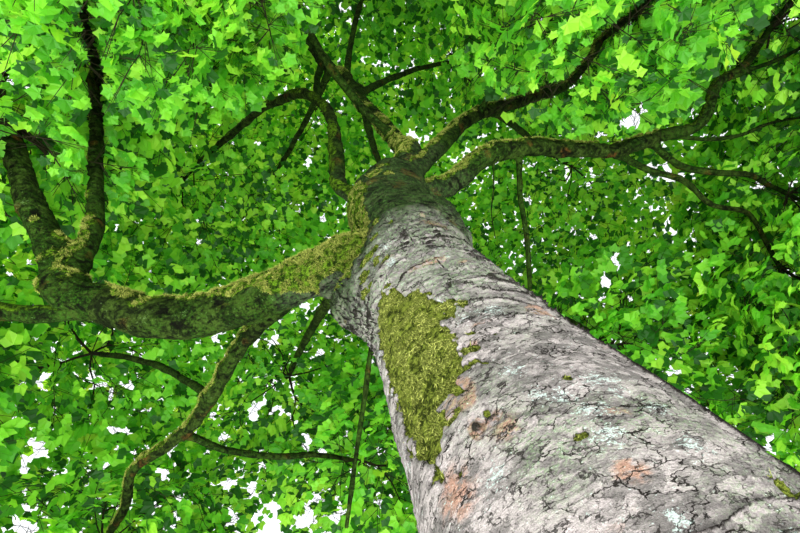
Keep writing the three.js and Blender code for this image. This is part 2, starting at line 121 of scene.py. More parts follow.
# The boughs and limbs, each with where it starts: a height on the trunk, a share of a limb's length
LIMBS = [
    ("left_bough", "trunk", 5.33, 3.05, (0.42, 0.335),
     [-116, -106, -94, -100, -108, -123, -142], [7, 7, 5, 7, 9, 13, 26], None),
    ("left_bough_upper", "left_bough", 1, 2.65, (0.335, 0.21),
     [-150, -170, -168, -179, -177], [38, 51, 39, 42, 45], 2.5),
    ("left_tall_limb", "left_bough_upper", 0.15, 5.2, (0.2, 0.11),
     [123, 175, 174, 162, 164, 179, 162], [58, 63, 54, 46, 49, 42, 40], 2.5),
    ("left_outer_limb", "left_bough", 0.97, 3.0, (0.18, 0.11),
     [-106, -121, -110, -95], [8, 14, 12, 10], 2.8),
    ("low_left_limb", "trunk", 5.95, 6.65, (0.21, 0.1),
     [-83, -83, -83, -73, -62, -60, -73, -90, -47, -55, -71],
     [6, 7, 11, 14, 9, 10, 12, 8, 6, 10, 10], 2.7),
    ("low_left_spur", "low_left_limb", 0.62, 3.3, (0.11, 0.08),
     [-5, 19, 28, 16], [22, 21, 26, 20], 2.7),
    ("mid_left_limb", "low_left_limb", 0.5, 3.3, (0.11, 0.08), [-112, -108, -100], [52, 44, 36], 2.9),
    ("right_bough", "trunk", 6.54, 4.32, (0.26, 0.17),
     [76, 64, 87, 73, 56, 58, 59, 67, 88], [8, 19, 25, 20, 10, 7, 5, 6, 9], None),
    ("right_upper_limb", "right_bough", 1, 3.1, (0.17, 0.105),
     [96, 110, 113, 78, 96, 102], [18, 19, 24, 22, 24, 25], 2.8),
    ("right_middle_limb", "right_bough", 0.96, 3.0, (0.11, 0.08),
     [24, 36, 63, 45, 38], [5, 3, 5, 10, 3], 2.3),
    ("right_lower_limb", "right_bough", 0.8, 3.72, (0.1, 0.07),
     [39, 38, 45, 28, 59, -4, 24], [2, 5, 0, 1, 2, -15, -10], 2.6),
    ("leader", "trunk", 6.9, 5.5, (0.3, 0.185),
     [97, 103, 189, 171, 212, 163, 179, 196, 194, 183],
     [20, 75, 84, 71, 69, 64, 59, 53, 52, 53], None),
    ("leader_near_limb", "leader", 1, 2.9, (0.185, 0.1), [180, 188, 196], [53, 48, 44], 2.9),
    ("leader_side_limb", "leader", 0.76, 3.6, (0.13, 0.09), [140, 134, 128, 124], [52, 48, 44, 42], 2.8),
    ("leader_top_limb", "leader", 0.93, 4.5, (0.16, 0.09), [-60, -40, -20], [76, 76, 78], 3.0),
    ("leader_back_limb", "leader", 0.6, 6.3, (0.15, 0.09), [-10, -2, 4], [62, 54, 48], 3.1),
    ("leader_left_limb", "leader", 0.87, 4.7, (0.14, 0.09), [-58, -62, -66], [42, 42, 44], 3.1),
    ("leader_right_limb", "leader", 0.66, 5.0, (0.14, 0.09), [84, 78, 70], [60, 52, 46], 2.9),
    ("upright_limb", "trunk", 6.85, 7.3, (0.24, 0.11),
     [84, 87, 86, 86, 70, 73, 72, 80, 115, 97, 87],
     [33, 49, 53, 47, 32, 26, 23, 22, 28, 22, 19], 2.5),
    ("right_back_limb", "upright_limb", 0.42, 4.6, (0.13, 0.09), [40, 36, 40], [44, 40, 36], 3.0),
    ("high_left_limb", "trunk", 6.25, 7.6, (0.2, 0.1),
     [-100, -206, -214, -160, -96, -86, -84, -82], [30, 66, 70, 60, 48, 42, 40, 38], 3.1),
    ("back_bough", "trunk", 6.35, 2.7, (0.3, 0.22), [10, 4, 0], [40, 32, 26], None),
    ("back_low_limb", "back_bough", 1, 3.1, (0.22, 0.11), [-6, -8, -8], [10, 0, -4], 2.6),
    ("back_right_limb", "back_bough", 0.85, 3.4, (0.15, 0.1), [46, 34, 28], [14, 6, 0], 2.6),
    ("back_high_limb", "back_bough", 0.93, 4.3, (0.16, 0.1), [6, 6, 8], [50, 46, 44], 3.0),
    ("back_left_limb", "trunk", 6.3, 6.7, (0.21, 0.1), [-52, -50, -46], [44, 40, 38], 3.0),
    ("near_right_limb", "upright_limb", 0.62, 4.4, (0.12, 0.09), [126, 146, 152], [16, 4, -8], 2.7),
    ("right_hanging_limb", "upright_limb", 0.36, 1.3, (0.09, 0.06), [124, 118], [-6, -44], 2.1),
    ("near_limb", "leader", 0.3, 5.2, (0.13, 0.09), [200, 172, 160], [18, 6, -4], 2.6),
    ("near_hanging_limb", "near_limb", 0.4, 1.0, (0.08, 0.06), [-150, -140], [-10, -40], 2.1),
    ("near_left_limb", "left_tall_limb", 0.62, 2.7, (0.1, 0.08), [170, 150, 140], [10, 0, -10], 2.5),
]
# Slender branches, each with the spot of its limb where it starts
SLIM_BRANCHES = [
    ("hanging_branch", "right_bough", 0.46, 2.1, (0.085, 0.05), [-57, -36, -42, -58], [-43, -42, -49, -47]),
    ("second_hanging_branch", "right_bough", 0.36, 1.3, (0.026, 0.012), [-30, -60, -40], [-30, -50, -60]),
    ("slim_left_branch", "low_left_limb", 0.02, 3.1, (0.075, 0.045), [-39, -39, -42, -45, -46],
     [-8, -8, -24, -34, -36]),
    ("right_side_branch", "right_upper_limb", 0.60, 2.2, (0.085, 0.06), [72, 78, 84], [14, 12, 14]),
    ("right_upper_end", "right_upper_limb", 1, 1.7, (0.105, 0.07), [100, 96, 100], [24, 24, 20]),
    ("right_level_branch", "right_upper_limb", 0.04, 3.3, (0.07, 0.045), [50, 62, 74, 62], [6, 12, 16, 10]),
    ("right_middle_end", "right_middle_limb", 1, 1.3, (0.08, 0.06), [40, 44], [6, 2]),
    ("right_lower_end", "right_lower_limb", 1, 1.0, (0.07, 0.05), [10, 45], [-14, 0]),
    ("upright_end", "upright_limb", 1, 1.7, (0.11, 0.08), [90, 96], [20, 20]),
    ("high_left_end", "high_left_limb", 1, 2.2, (0.1, 0.035), [-84, -70, -90], [38, 30, 38]),
    ("leader_left_end", "leader_left_limb", 1, 1.8, (0.09, 0.035), [-66, -50, -64], [44, 38, 46]),
]
STOUT_LIMB = 0.3
LIMB_STEPS_PER_METRE = {"stout": 2.4, "other": 1.35}
COLLAR = {"swell": 0.14, "fade": 0.9}


# Noise and cells from the place alone, so that every run gives the same tree
def cell_numbers(cells, seed):
    """A number from 0 to 1 for each whole-numbered cell."""
    x, y, z = (cells[..., k].astype(np.int64).astype(np.uint32) for k in range(3))
    mixed = x * np.uint32(0x8DA6B343) ^ y * np.uint32(0xD8163841) ^ z * np.uint32(0xCB1AB31F)
    mixed ^= np.uint32(seed * 0x9E3779B1 & 0xFFFFFFFF)
    for shift, factor in ((16, 0x7FEB352D), (15, 0x846CA68B)):
        mixed ^= mixed >> np.uint32(shift)
        mixed *= np.uint32(factor)
    mixed ^= mixed >> np.uint32(16)
    return mixed.astype(np.float64) / 2 ** 32


def noise(points, size, seed, octaves=1):
    """Smooth noise from -1 to 1, with bumps about as wide as size."""
    total, weight, most = 0.0, 1.0, 0.0
    for octave in range(octaves):
        scaled = points / size * 2 ** octave
        low = np.floor(scaled)
        share = scaled - low
        share = share * share * (3 - 2 * share)
        value = 0.0
        for corner in itertools.product((0, 1), repeat=3):
            part = np.prod(np.where(corner, share, 1 - share), axis=-1)
            value = value + part * cell_numbers(low + corner, seed + 31 * octave)
        total = total + weight * (2 * value - 1)
        most += weight
        weight /= 2
    return total / most


def smoothstep(low, high, values):
    share = np.clip((values - low) / (high - low), 0, 1)
    return share * share * (3 - 2 * share)


def smooth_along(values, t):
    """A smooth curve through evenly spaced values, at shares t of its length."""
    values = np.asarray(values, float)
    padded = np.concatenate([[2 * values[0] - values[1]], values, [2 * values[-1] - values[-2]]])
    place = np.clip(t, 0, 1) * (len(values) - 1)
    low = np.minimum(np.floor(place).astype(int), len(values) - 2)
    u = place - low
    if values.ndim > 1:
        u = u[..., None]
    before, start, end, after = (padded[low + k] for k in range(4))
    curve = 2 * before - 5 * start + 4 * end - after + u * (3 * (start - end) + after - before)
    return start + 0.5 * u * (end - before + u * curve)


# Where the trunk and the limbs run
SLOPE_STEP = 0.04
SLOPE_DEGREES = 3
STEEPEST = 1.5


def heading(bearing, rise):
    bearing, rise = np.radians(bearing), np.radians(rise)
    level = np.cos(rise)
    return np.stack([np.sin(bearing) * level, np.cos(bearing) * level, np.sin(rise) + 0 * bearing], -1)


def trunk_centre(height):
    t = np.asarray(height) / TRUNK_HEIGHT
    return np.stack([smooth_along(TRUNK_SHIFT["east"], t), smooth_along(TRUNK_SHIFT["north"], t)], -1)


def trunk_radius(height, bearing):
    angle = np.radians(bearing)
    flare = np.exp(-height / ROOT_FLARE["fade"])
    lobe = 0.5 + 0.5 * np.cos(ROOT_FLARE["lobes"] * angle + ROOT_FLARE["turn"])
    radius = smooth_along(TRUNK_DIAMETERS, height / TRUNK_HEIGHT) / 2
    radius = radius + flare * (ROOT_FLARE["spread"] + ROOT_FLARE["lobe"] * lobe)
    for bump in SWELLINGS:
        up = (height - bump["height"]) / bump["tall"]
        between = np.abs((bearing - bump["bearing"] + 180) % 360 - 180) / bump["wide"]
        radius = radius + bump["out"] * np.exp(-up * up - between * between)
    into_dome = np.maximum(0, height - (TRUNK_HEIGHT - TRUNK_DOME)) / TRUNK_DOME
    return radius * np.sqrt(np.maximum(DOME_TIP, 1 - into_dome * into_dome))


def trunk_distance(points):
    """How far points lie outside the plain trunk, allowing for the slope of its swellings."""
    height = np.clip(points[:, 2], 0, TRUNK_HEIGHT)
    out = points[:, :2] - trunk_centre(height)
    bearing = np.degrees(np.arctan2(out[:, 0], out[:, 1]))
    radius = trunk_radius(height, bearing)
    rise = (trunk_radius(np.minimum(height + SLOPE_STEP, TRUNK_HEIGHT), bearing) - radius) / SLOPE_STEP
    turn = (trunk_radius(height, bearing + SLOPE_DEGREES) - radius) / (radius * math.radians(SLOPE_DEGREES))
    slope = np.sqrt(1 + np.minimum(rise * rise + turn * turn, STEEPEST ** 2))
    level = (np.linalg.norm(out, axis=1) - radius) / slope
    above = points[:, 2] - height
    return np.where(above > 0, np.hypot(np.maximum(level, 0), above), level)


def limb_route(limb, start, first_heading):
    stout = limb["thick"][0] > STOUT_LIMB
    per_metre = LIMB_STEPS_PER_METRE["stout" if stout else "other"]
    steps = max(3, int(limb["length"] * per_metre + 0.5))
    t = (np.arange(steps) + 0.5) / steps
    marks = np.linspace(0, 1, len(limb["bearings"]))
    ways = heading(np.interp(t, marks, limb["bearings"]), np.interp(t, marks, limb["rises"]))
    if first_heading is not None:
        ways[0] = first_heading
    return start + np.concatenate([[[0, 0, 0]], np.cumsum(ways, 0) * limb["length"] / steps])


def plan_limbs():
    """Each limb with its route, as in the solids."""
    limbs = {}
    slim = [(*row, None) for row in SLIM_BRANCHES]
    for name, parent, at, length, thick, bearings, rises, reach in LIMBS + slim:
        limb = {"name": name, "from": parent, "at": at, "length": length, "thick": thick,
                "bearings": bearings, "rises": rises, "reach": reach, "slim": len(limbs) >= len(LIMBS)}
        first_heading = None
        if parent == "trunk":
            start = np.append(trunk_centre(at), at)
        else:
            route = limbs[parent]["route"]
            place = at * (len(route) - 1)
            low = min(int(place), len(route) - 2)
            start = route[low] + (route[low + 1] - route[low]) * (place - low)
            if at == 1:
                first_heading = unit(route[-1] - route[-2])
        limb["route"] = limb_route(limb, start, first_heading)
        limbs[name] = limb
    return limbs


def limb_radius(limb, t):
    plain = (limb["thick"][0] + (limb["thick"][1] - limb["thick"][0]) * t) / 2
    if limb["at"] == 1:
        return plain
    reach = t * limb["length"] / (limb["thick"][0] * COLLAR["fade"])
    return plain * (1 + COLLAR["swell"] * np.exp(-reach * reach))


def carried_frames(points):
    """A side and an over vector at each point of a line, carried along it without twist."""
    ways = unit(np.gradient(points, axis=0))
    side = np.cross(ways[0], [0, 0, 1])
    sides = []
    for way in ways:
        side = unit(side - side.dot(way) * way)
        sides.append(side)
    sides = np.array(sides)
    return ways, sides, np.cross(ways, sides)


limbs = plan_limbs()
CROOK = {"size": 0.55, "share": 0.35, "most": 0.028}
CENTRE_SPACING = 0.05
for order, limb in enumerate(limbs.values()):
    count = int(limb["length"] / CENTRE_SPACING)
    t = np.linspace(0, 1, count)
    line = smooth_along(limb["route"], t)
    bend = min(CROOK["share"] * limb["thick"][1], CROOK["most"]) * np.sin(math.pi * t)[:, None]
    wander = np.stack([noise(line, CROOK["size"], 900 + 3 * order + k, 2) for k in range(3)], -1)
    limb["line"] = line + bend * wander
    limb["radii"] = limb_radius(limb, t)


def limb_distance(limb, points, margin, first=0):
    """How far points lie outside the plain limb; only those within the margin are worked out."""
    line, radii = limb["line"][first:], limb["radii"][first:]
    distance = np.full(len(points), 9.0)
    low = line.min(0) - radii.max() - margin
    high = line.max(0) + radii.max() + margin
    near = np.flatnonzero(((points > low) & (points < high)).all(1))
    for part in np.array_split(near, max(1, len(near) // 20000)):
        gap = np.linalg.norm(points[part, None] - line[None], axis=-1) - radii
        distance[part] = gap.min(1)
    return distance


# Meshes from arrays
def make_mesh(name, points, faces, materials, values=None, tones=None, smooth=True):
    """A mesh object. faces is a list of arrays of corners, each array with its own number of sides."""
    mesh = bpy.data.meshes.new(name)
    mesh.vertices.add(len(points))
    mesh.vertices.foreach_set("co", np.asarray(points, np.float32).ravel())
    corners = np.concatenate([part.ravel() for part in faces]).astype(np.int32)
    sides = np.concatenate([np.full(len(part), part.shape[1]) for part in faces])
    mesh.loops.add(len(corners))
    mesh.loops.foreach_set("vertex_index", corners)
    mesh.polygons.add(len(sides))
    starts = np.concatenate([[0], np.cumsum(sides)[:-1]]).astype(np.int32)
    mesh.polygons.foreach_set("loop_start", starts)
    if tones is not None:
        mesh.polygons.foreach_set("material_index", tones.astype(np.int32))
    for key, numbers in (values or {}).items():
        attribute = mesh.attributes.new(key, "FLOAT", "POINT")
        attribute.data.foreach_set("value", np.asarray(numbers, np.float32))
    mesh.update(calc_edges=True)
    mesh.validate()
    if smooth:
        mesh.shade_smooth()
    else:
        mesh.shade_flat()
    for material in materials:
        mesh.materials.append(material)
    piece = bpy.data.objects.new(name, mesh)
    bpy.context.collection.objects.link(piece)
    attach(piece, "root")
    return piece


def grid_faces(rows, columns):
    """Quads of a grid of points, row by row, closed round."""
    across = np.arange(columns)
    up = np.arange(rows - 1)[:, None] * columns
    after = (across + 1) % columns
    quads = np.stack([up + across, up + after, up + columns + after, up + columns + across], -1)
    return quads.reshape(-1, 4)


def grid_normals(grid):
    """Outward normals of a closed grid whose columns run anticlockwise seen from its far end."""
    padded = np.concatenate([grid[:, -1:], grid, grid[:, :1]], 1)
    return unit(np.cross(padded[:, 2:] - padded[:, :-2], np.gradient(grid, axis=0)))


# Bark relief and what grows on it
FILLET = {"trunk": 2.4, "limb": 2.0, "foot_on_trunk": 0.45}
FOOT_INSIDE = 0.3
UNDERSIDE_KEEPS = 0.45


def joint_size(limb):
    """How far from the corner the hollow between a limb and what carries it starts."""
    return FILLET["trunk" if limb["from"] == "trunk" else "limb"] * limb["thick"][0] / 2


def foot_of(limb):
    """The first point of a limb's line that comes near the surface of what carries it."""
    if limb["from"] == "trunk":
        inside = trunk_distance(limb["line"])
    else:
        inside = limb_distance(limbs[limb["from"]], limb["line"], 2.0)
    return int(np.argmax(inside > -FOOT_INSIDE * limb["thick"][0]))


def foot_meeting(limb):
    """The foot of a limb as something that a surface meets: how far it is, and how large the hollow."""
    size, first = joint_size(limb), foot_of(limb)
    return lambda points: limb_distance(limb, points, size, first), size


def fillet(near, size):
    """How far a surface stands out beside another one, so that the two meet in a smooth hollow."""
    beside = (math.sqrt(size) - np.sqrt(np.clip(near, size / 4, size))) ** 2
    return beside * smoothstep(-size / 2, size / 4, near)


MOSS_PATCH = [
    (216, 4.19), (199, 4.00), (187, 3.76), (179, 3.60), (164, 3.36), (176, 3.30), (183, 3.12),
    (179, 2.94), (182, 2.88), (191, 2.87), (192, 2.77), (199, 2.78), (203, 2.66), (214, 2.50),
    (222, 2.58), (229, 2.74), (233, 2.94), (235, 3.23), (235, 3.50), (230, 3.87),
]
MOSS_BAND = [
    (212, 6.35), (193, 6.15), (188, 5.80), (200, 5.40), (207, 5.20), (225, 4.95), (233, 4.78),
    (246, 4.95), (262, 5.20), (290, 5.60), (250, 6.30),
]
MOSS_SPOTS = [
    ((174, 3.05), 0.03), ((158, 2.60), 0.025), ((132, 2.11), 0.05), ((188, 2.62), 0.02),
    ((169, 2.35), 0.025), ((168, 2.98), 0.02), ((196, 4.45), 0.08), ((204, 4.75), 0.11),
    ((205, 4.58), 0.06), ((213, 4.72), 0.10), ((222, 4.55), 0.09), ((228, 4.40), 0.06),
    ((198, 4.98), 0.09), ((192, 5.30), 0.12), ((184, 5.62), 0.12), ((219, 4.34), 0.06),
    ((180, 6.30), 0.12), ((168, 6.50), 0.12), ((158, 6.20), 0.08), ((176, 5.05), 0.05)]
LICHEN_SPOTS = [((175, 3.20), 0.05), ((172, 2.56), 0.04), ((173, 2.72), 0.05), ((148, 2.24), 0.05),
                ((163, 2.32), 0.06), ((165, 2.51), 0.06), ((196, 2.38), 0.05), ((160, 2.42), 0.07),
                ((150, 2.55), 0.06), ((143, 2.38), 0.05), ((180, 3.45), 0.05)]
SALMON_SPOTS = [((155, 2.39), 0.04), ((210, 2.45), 0.10), ((186, 2.50), 0.06), ((168, 3.10), 0.04),
                ((180, 2.95), 0.05), ((165, 2.20), 0.05)]
DEGREE_ARC = 0.0088
# Named cracks: their ends as bearing and height, and how wide the painted shade in each is
CRACKS = [
    {"from": (170, 2.50), "to": (154, 2.46), "wide": 0.010},
    {"from": (164, 3.06), "to": (152, 2.88), "wide": 0.009},
    {"from": (176, 4.65), "to": (159, 4.49), "wide": 0.020},
    {"from": (181, 4.27), "to": (170, 4.24), "wide": 0.014},
    {"from": (163, 4.00), "to": (157, 3.87), "wide": 0.012},
    {"from": (133, 2.47), "to": (124, 2.42), "wide": 0.012},
    {"from": (159, 2.28), "to": (147, 2.24), "wide": 0.009},
    {"from": (178, 2.81), "to": (172, 2.82), "wide": 0.007},
    {"from": (191, 2.56), "to": (183, 2.60), "wide": 0.011},
    {"from": (150, 2.42), "to": (140, 2.44), "wide": 0.008},
    {"from": (146, 2.95), "to": (138, 2.84), "wide": 0.011},
    {"from": (152, 3.55), "to": (141, 3.42), "wide": 0.012},
    {"from": (142, 2.20), "to": (131, 2.16), "wide": 0.008},
    {"from": (168, 4.90), "to": (152, 4.86), "wide": 0.020},
    {"from": (186, 5.10), "to": (174, 4.98), "wide": 0.018},
]
CRACK_LIP = 0.020
LIP_REACH = 0.06
PLACE_BEND = 0.016
KNOTS = [
    {"place": (194, 2.58), "across": 0.018, "tall": 0.034, "deep": 0.008},
    {"place": (188.5, 2.57), "across": 0.028, "tall": 0.022, "deep": 0.012},
]
FLAKES = [
    {"spacing": 0.150, "depth": 0.022, "trunk": 0.9, "bough": 0.15, "seed": 11},
    {"spacing": 0.062, "depth": 0.013, "trunk": 0.7, "bough": 0.45, "seed": 31},
    {"spacing": 0.031, "depth": 0.007, "trunk": 0.25, "bough": 0.8, "seed": 51},
]
RIDGES = 0.045
# Where the gap under each flake starts and ends along it, which is also where shade is painted, and how deep
# it dips
FLAKE_GAP = {"from": 0.86, "to": 0.95, "deep": 0.6}
LONG_PLATES = [
    {"middle": 108, "half": 20, "heights": (1.4, 3.6), "apart": 0.075, "depth": 0.022, "seed": 181},
    {"middle": 252, "half": 30, "heights": (4.0, 4.95), "apart": 0.050, "depth": 0.012, "seed": 186},
]
PLATE_FADE = 0.45
# Painted shade on the burl's dark side: its bearing, height, size and share of the bough colours
BURL_SHADE = {"bearing": 103, "height": 5.18, "wide": 22, "tall": 0.30, "share": 0.85}


def outline_distance(x, y, outline):
    """How far inside a closed outline points lie: below 0 outside it."""
    inside = np.zeros(x.shape, bool)
    nearest = np.full(x.shape, 9.0)
    ends = [(a * DEGREE_ARC, b) for a, b in outline]
    for (ax, ay), (bx, by) in zip(ends, ends[1:] + ends[:1]):
        run_x, run_y = bx - ax, by - ay
        share = np.clip(((x - ax) * run_x + (y - ay) * run_y) / (run_x ** 2 + run_y ** 2), 0, 1)
        nearest = np.minimum(nearest, np.hypot(x - ax - share * run_x, y - ay - share * run_y))
        crosses = (ay > y) != (by > y)
        inside ^= crosses & (x < ax + (y - ay) * run_x / (run_y + 1e-12))
    return np.where(inside, nearest, -nearest)


def spots(x, y, places):
    """Soft round spots, each with its own size."""
    total = np.zeros(x.shape)
    for (bearing, height), size in places:
        off = np.hypot(x - bearing * DEGREE_ARC, y - height) / size
        total = np.maximum(total, np.exp(-off * off * 1.5))
    return total


def flakes(phase, present):
    """Flakes that overlap: each is highest at its free edge, which hangs over a gap darkened with painted
    shade.
    """
    up = phase - np.floor(phase)
    gap = smoothstep(FLAKE_GAP["from"], FLAKE_GAP["to"], up)
    return present * ((1 - up) ** 1.4 - FLAKE_GAP["deep"] * gap), present * gap


BROAD_LUMPS = 0.010
GRAIN = {"plain": 0.0012, "rough": 0.0016, "size": 0.018}
BOUGH_LUMPS = {"out": 0.008, "size": 0.11}
RIDGE_SIZE = 0.070


def bark_surface(points, rough, bough):
    """Relief of bark at points, and the shares of crack (where shade is painted), lichen, stain and bare wood
    there.

    rough is where the flakes are many. bough is 0 on the lower trunk and 1 on the boughs."""
    relief = BROAD_LUMPS * noise(points, 0.32, 71, 2)
    crack = np.zeros(len(points))
    for kind in FLAKES:
        spacing, seed = kind["spacing"], kind["seed"]
        share = (kind["trunk"] + (1 - kind["trunk"]) * rough) * (1 - bough) + kind["bough"] * bough
        wave = noise(points * [0.55, 0.55, 1.0], 1.3 * spacing, seed, 2)
        present = smoothstep(0.05 - 0.35 * rough, 0.55, noise(points, 2.6 * spacing, seed + 9, 2))
        height, gap = flakes(points[:, 2] / spacing + 1.6 * wave, present * share)
        relief = relief + kind["depth"] * (1 + 0.6 * rough * (1 - bough)) * height
        # The gaps under the flakes carry painted shade.
        crack = np.maximum(crack, gap)
    relief = relief + (GRAIN["plain"] + GRAIN["rough"] * rough) * noise(points, GRAIN["size"], 81, 2)
    ridges = noise(points * [0.6, 0.6, 1.3], RIDGE_SIZE, 61, 3)
    relief = relief + RIDGES * rough * (1 - 0.5 * bough) * ridges
    # Painted shade in the troughs between the ridges, carried by the crack share.
    crack = np.maximum(crack, rough * (1 - 0.3 * bough) * smoothstep(0.18, 0.50, -ridges))
    relief = relief + bough * BOUGH_LUMPS["out"] * noise(points, BOUGH_LUMPS["size"], 91, 2)
    values = {
        "crack": crack,
        "lichen": smoothstep(0.20, 0.65, noise(points, 0.16, 101, 3)) * (1 - 0.6 * bough),
        "stain": smoothstep(-0.15, 0.55, noise(points, 0.34, 111, 3)),
        "bare": smoothstep(0.25, 0.62, noise(points, 0.21, 121, 2)) * (1 - 0.3 * bough),
        "bough": bough,
    }
    return relief, values


def cut_cracks(across, up, values):
    """The named cracks: how far each point lies off its nearest one, the width of the painted shade in it,
    and the lip above them.
    """
    lips = np.zeros(across.shape)
    nearest = np.full(across.shape, 9.0)
    values["gash_off"] = np.full(across.shape, 9.0)
    values["gash_wide"] = np.zeros(across.shape)
    for crack in CRACKS:
        (b0, z0), (b1, z1) = crack["from"], crack["to"]
        run = np.array([(b1 - b0) * DEGREE_ARC, z1 - z0])
        off_x, off_z = across - b0 * DEGREE_ARC, up - z0
        share = np.clip((off_x * run[0] + off_z * run[1]) / run.dot(run), 0, 1)
        off_x, off_z = off_x - share * run[0], off_z - share * run[1]
        gap = np.hypot(off_x, off_z)
        lip = smoothstep(-0.008, 0.012, off_z) * np.exp(-(gap / LIP_REACH) ** 2)
        lips = lips + CRACK_LIP * lip * np.sin(math.pi * share)
        nearer = gap < nearest
        nearest = np.where(nearer, gap, nearest)
        beside = (off_x * run[1] - off_z * run[0]) / np.linalg.norm(run)
        values["gash_off"] = np.where(nearer, beside, values["gash_off"])
        wide = crack["wide"] * np.sin(math.pi * share)
        values["gash_wide"] = np.where(nearer, wide, values["gash_wide"])
    values["gash_wide"] = values["gash_wide"] * (1 - smoothstep(0.02, 0.03, nearest))
    return lips


def set_knots(turned, height, values):
    """Knots: a raised ring round a dip darkened with painted shade, bare at its rim."""
    rings = np.zeros(len(height))
    for knot in KNOTS:
        b0, z0 = knot["place"]
        ring = np.hypot((turned - b0) * DEGREE_ARC / knot["across"], (height - z0) / knot["tall"])
        rings = rings + knot["deep"] * (0.8 * np.exp(-(ring - 1.1) ** 2 * 6) - np.exp(-ring ** 2 * 2))
        values["crack"] = np.maximum(values["crack"], np.exp(-ring ** 2 * 1.4))
        values["bare"] = np.maximum(values["bare"], np.exp(-(ring - 1.0) ** 2 * 3))
    return rings


def set_long_plates(points, turned, height, values):
    """Long upright plates, side by side round the trunk."""
    relief = np.zeros(len(height))
    for place in LONG_PLATES:
        low, high = place["heights"]
        aside = np.abs(turned - place["middle"]) / place["half"]
        wave = noise(points * [1, 1, 0.22], 0.10, place["seed"], 2)
        present = (1 - smoothstep(0.7, 1.1, aside)) * smoothstep(low - PLATE_FADE, low, height)
        present = present * (1 - smoothstep(high, high + PLATE_FADE, height))
        plate, gap = flakes(-turned * DEGREE_ARC / place["apart"] + 0.8 * wave, present)
        relief = relief + place["depth"] * plate
        # The gaps between the long plates carry painted shade.
        values["crack"] = np.maximum(values["crack"], gap)
    return relief


def moss_share(points, across, up, height):
    """Where moss covers the trunk: inside the ragged outlines and on small spots."""
    ragged = 0.085 * noise(points, 0.12, 141, 3) + 0.055 * noise(points, 0.035, 146)
    ragged = ragged + 0.16 * noise(points, 0.30, 151, 2) * smoothstep(4.3, 5.2, height)
    cover = np.maximum(outline_distance(across, up, MOSS_PATCH), outline_distance(across, up, MOSS_BAND))
    tufts = 0.05 * spots(across, up, MOSS_SPOTS) * (1 + 7 * ragged) - 0.018
    return smoothstep(-0.006, 0.014, np.maximum(cover + ragged - 0.010, tufts))


def trunk_marks(points, height, bearing, relief, values):
    """The moss, the named cracks, spots and knots of the side that the moss is on."""
    turned = bearing % 360
    bend = np.stack([noise(points, 0.075, 131 + k) for k in range(2)], -1)
    across = turned * DEGREE_ARC + PLACE_BEND * bend[:, 0]
    up = height + PLACE_BEND * bend[:, 1]
    relief = relief + cut_cracks(across, up, values)
    relief = relief + set_knots(turned, height, values)
    relief = relief + set_long_plates(points, turned, height, values)
    values["lichen"] = np.maximum(values["lichen"], spots(across, up, LICHEN_SPOTS))
    values["bare"] = np.maximum(values["bare"], spots(across, up, SALMON_SPOTS))
    # Painted shade: the dark bough colours darken a patch on the burl's dark side.
    burl = np.hypot((turned - BURL_SHADE["bearing"]) / BURL_SHADE["wide"],
                    (height - BURL_SHADE["height"]) / BURL_SHADE["tall"])
    values["bough"] = np.maximum(values["bough"], BURL_SHADE["share"] * (1 - smoothstep(0.6, 1.15, burl)))
    values["moss"] = moss_share(points, across, up, height)
    values["crack"] = values["crack"] * (1 - 0.8 * values["moss"])
    return relief * (1 - 0.6 * values["moss"]), values


def moss_relief(points, moss):
    """Moss adds a soft lumpy thickness."""
    lumps = 0.5 + 0.5 * noise(points, 0.060, 161, 3)
    grain = 0.5 + 0.5 * noise(points, 0.018, 171)
    return moss * (0.002 + 0.032 * lumps + 0.008 * grain)


# Trunk mesh: one closed grid, fine where the camera comes close and coarse behind.
# Each part of it runs from one bearing to the next in a number of columns
TRUNK_VIEW = {"low": 1.62, "finest_at": 1.95, "first": 0.0052, "more": 0.0032}
BEARING_PARTS = [(85, 112, 28), (112, 216, 232), (216, 276, 64), (276, 445, 52)]
FOOT_ROWS = 70
TRUNK_PIECES = ["trunk_bark_low", "trunk_bark_middle", "trunk_bark_high"]
BOUGH_LOOK_FROM = (4.1, 5.4)
BOUGH_LOOK_MOST = 0.95
ROUGH_FROM = (3.3, 4.4)
ALGAE_FROM = (3.0, 4.2)


def trunk_bearings():
    parts = [np.linspace(low, high, count, endpoint=False) for low, high, count in BEARING_PARTS]
    return np.concatenate(parts)


def trunk_heights():
    """Heights of the grid's rows, further apart the further they are from the camera."""
    heights = list(np.linspace(0, TRUNK_VIEW["low"], FOOT_ROWS))
    while heights[-1] < TRUNK_HEIGHT:
        beyond = max(0, heights[-1] - TRUNK_VIEW["finest_at"])
        short = max(0, TRUNK_VIEW["finest_at"] - heights[-1])
        heights.append(heights[-1] + TRUNK_VIEW["first"] + TRUNK_VIEW["more"] * (beyond + 4 * short))
    heights[-1] = TRUNK_HEIGHT
    return np.array(heights)


def trunk_grid(heights, bearings):
    h, b = np.meshgrid(heights, bearings, indexing="ij")
    grid = heading(b, np.zeros_like(b)) * trunk_radius(h, b)[..., None]
    grid[..., :2] += trunk_centre(h)
    grid[..., 2] = h
    return grid, h, b


def joined_grid(grid, others):
    """The grid pushed out to run smoothly into what it meets."""
    flat = grid.reshape(-1, 3)
    push = np.zeros(len(flat))
    for distance, size in others:
        push = np.maximum(push, fillet(distance(flat), size))
    normals = grid_normals(grid)
    underside = smoothstep(0.1, 0.9, -normals[..., 2])
    push = push.reshape(grid.shape[:2]) * (1 - (1 - UNDERSIDE_KEEPS) * underside)
    return grid + push[..., None] * normals


def moss_bed(grid, moss, size):
    """Where tufts can stand: points, normals, how likely each is, and how large its tufts are."""
    across = np.roll(grid, -1, 1) - grid
    up = np.gradient(grid, axis=0)
    area = np.linalg.norm(np.cross(across, up), axis=-1).ravel()
    thick = smoothstep(0.5, 0.9, moss)
    return grid.reshape(-1, 3), grid_normals(grid).reshape(-1, 3), area * thick, np.full(len(area), size)


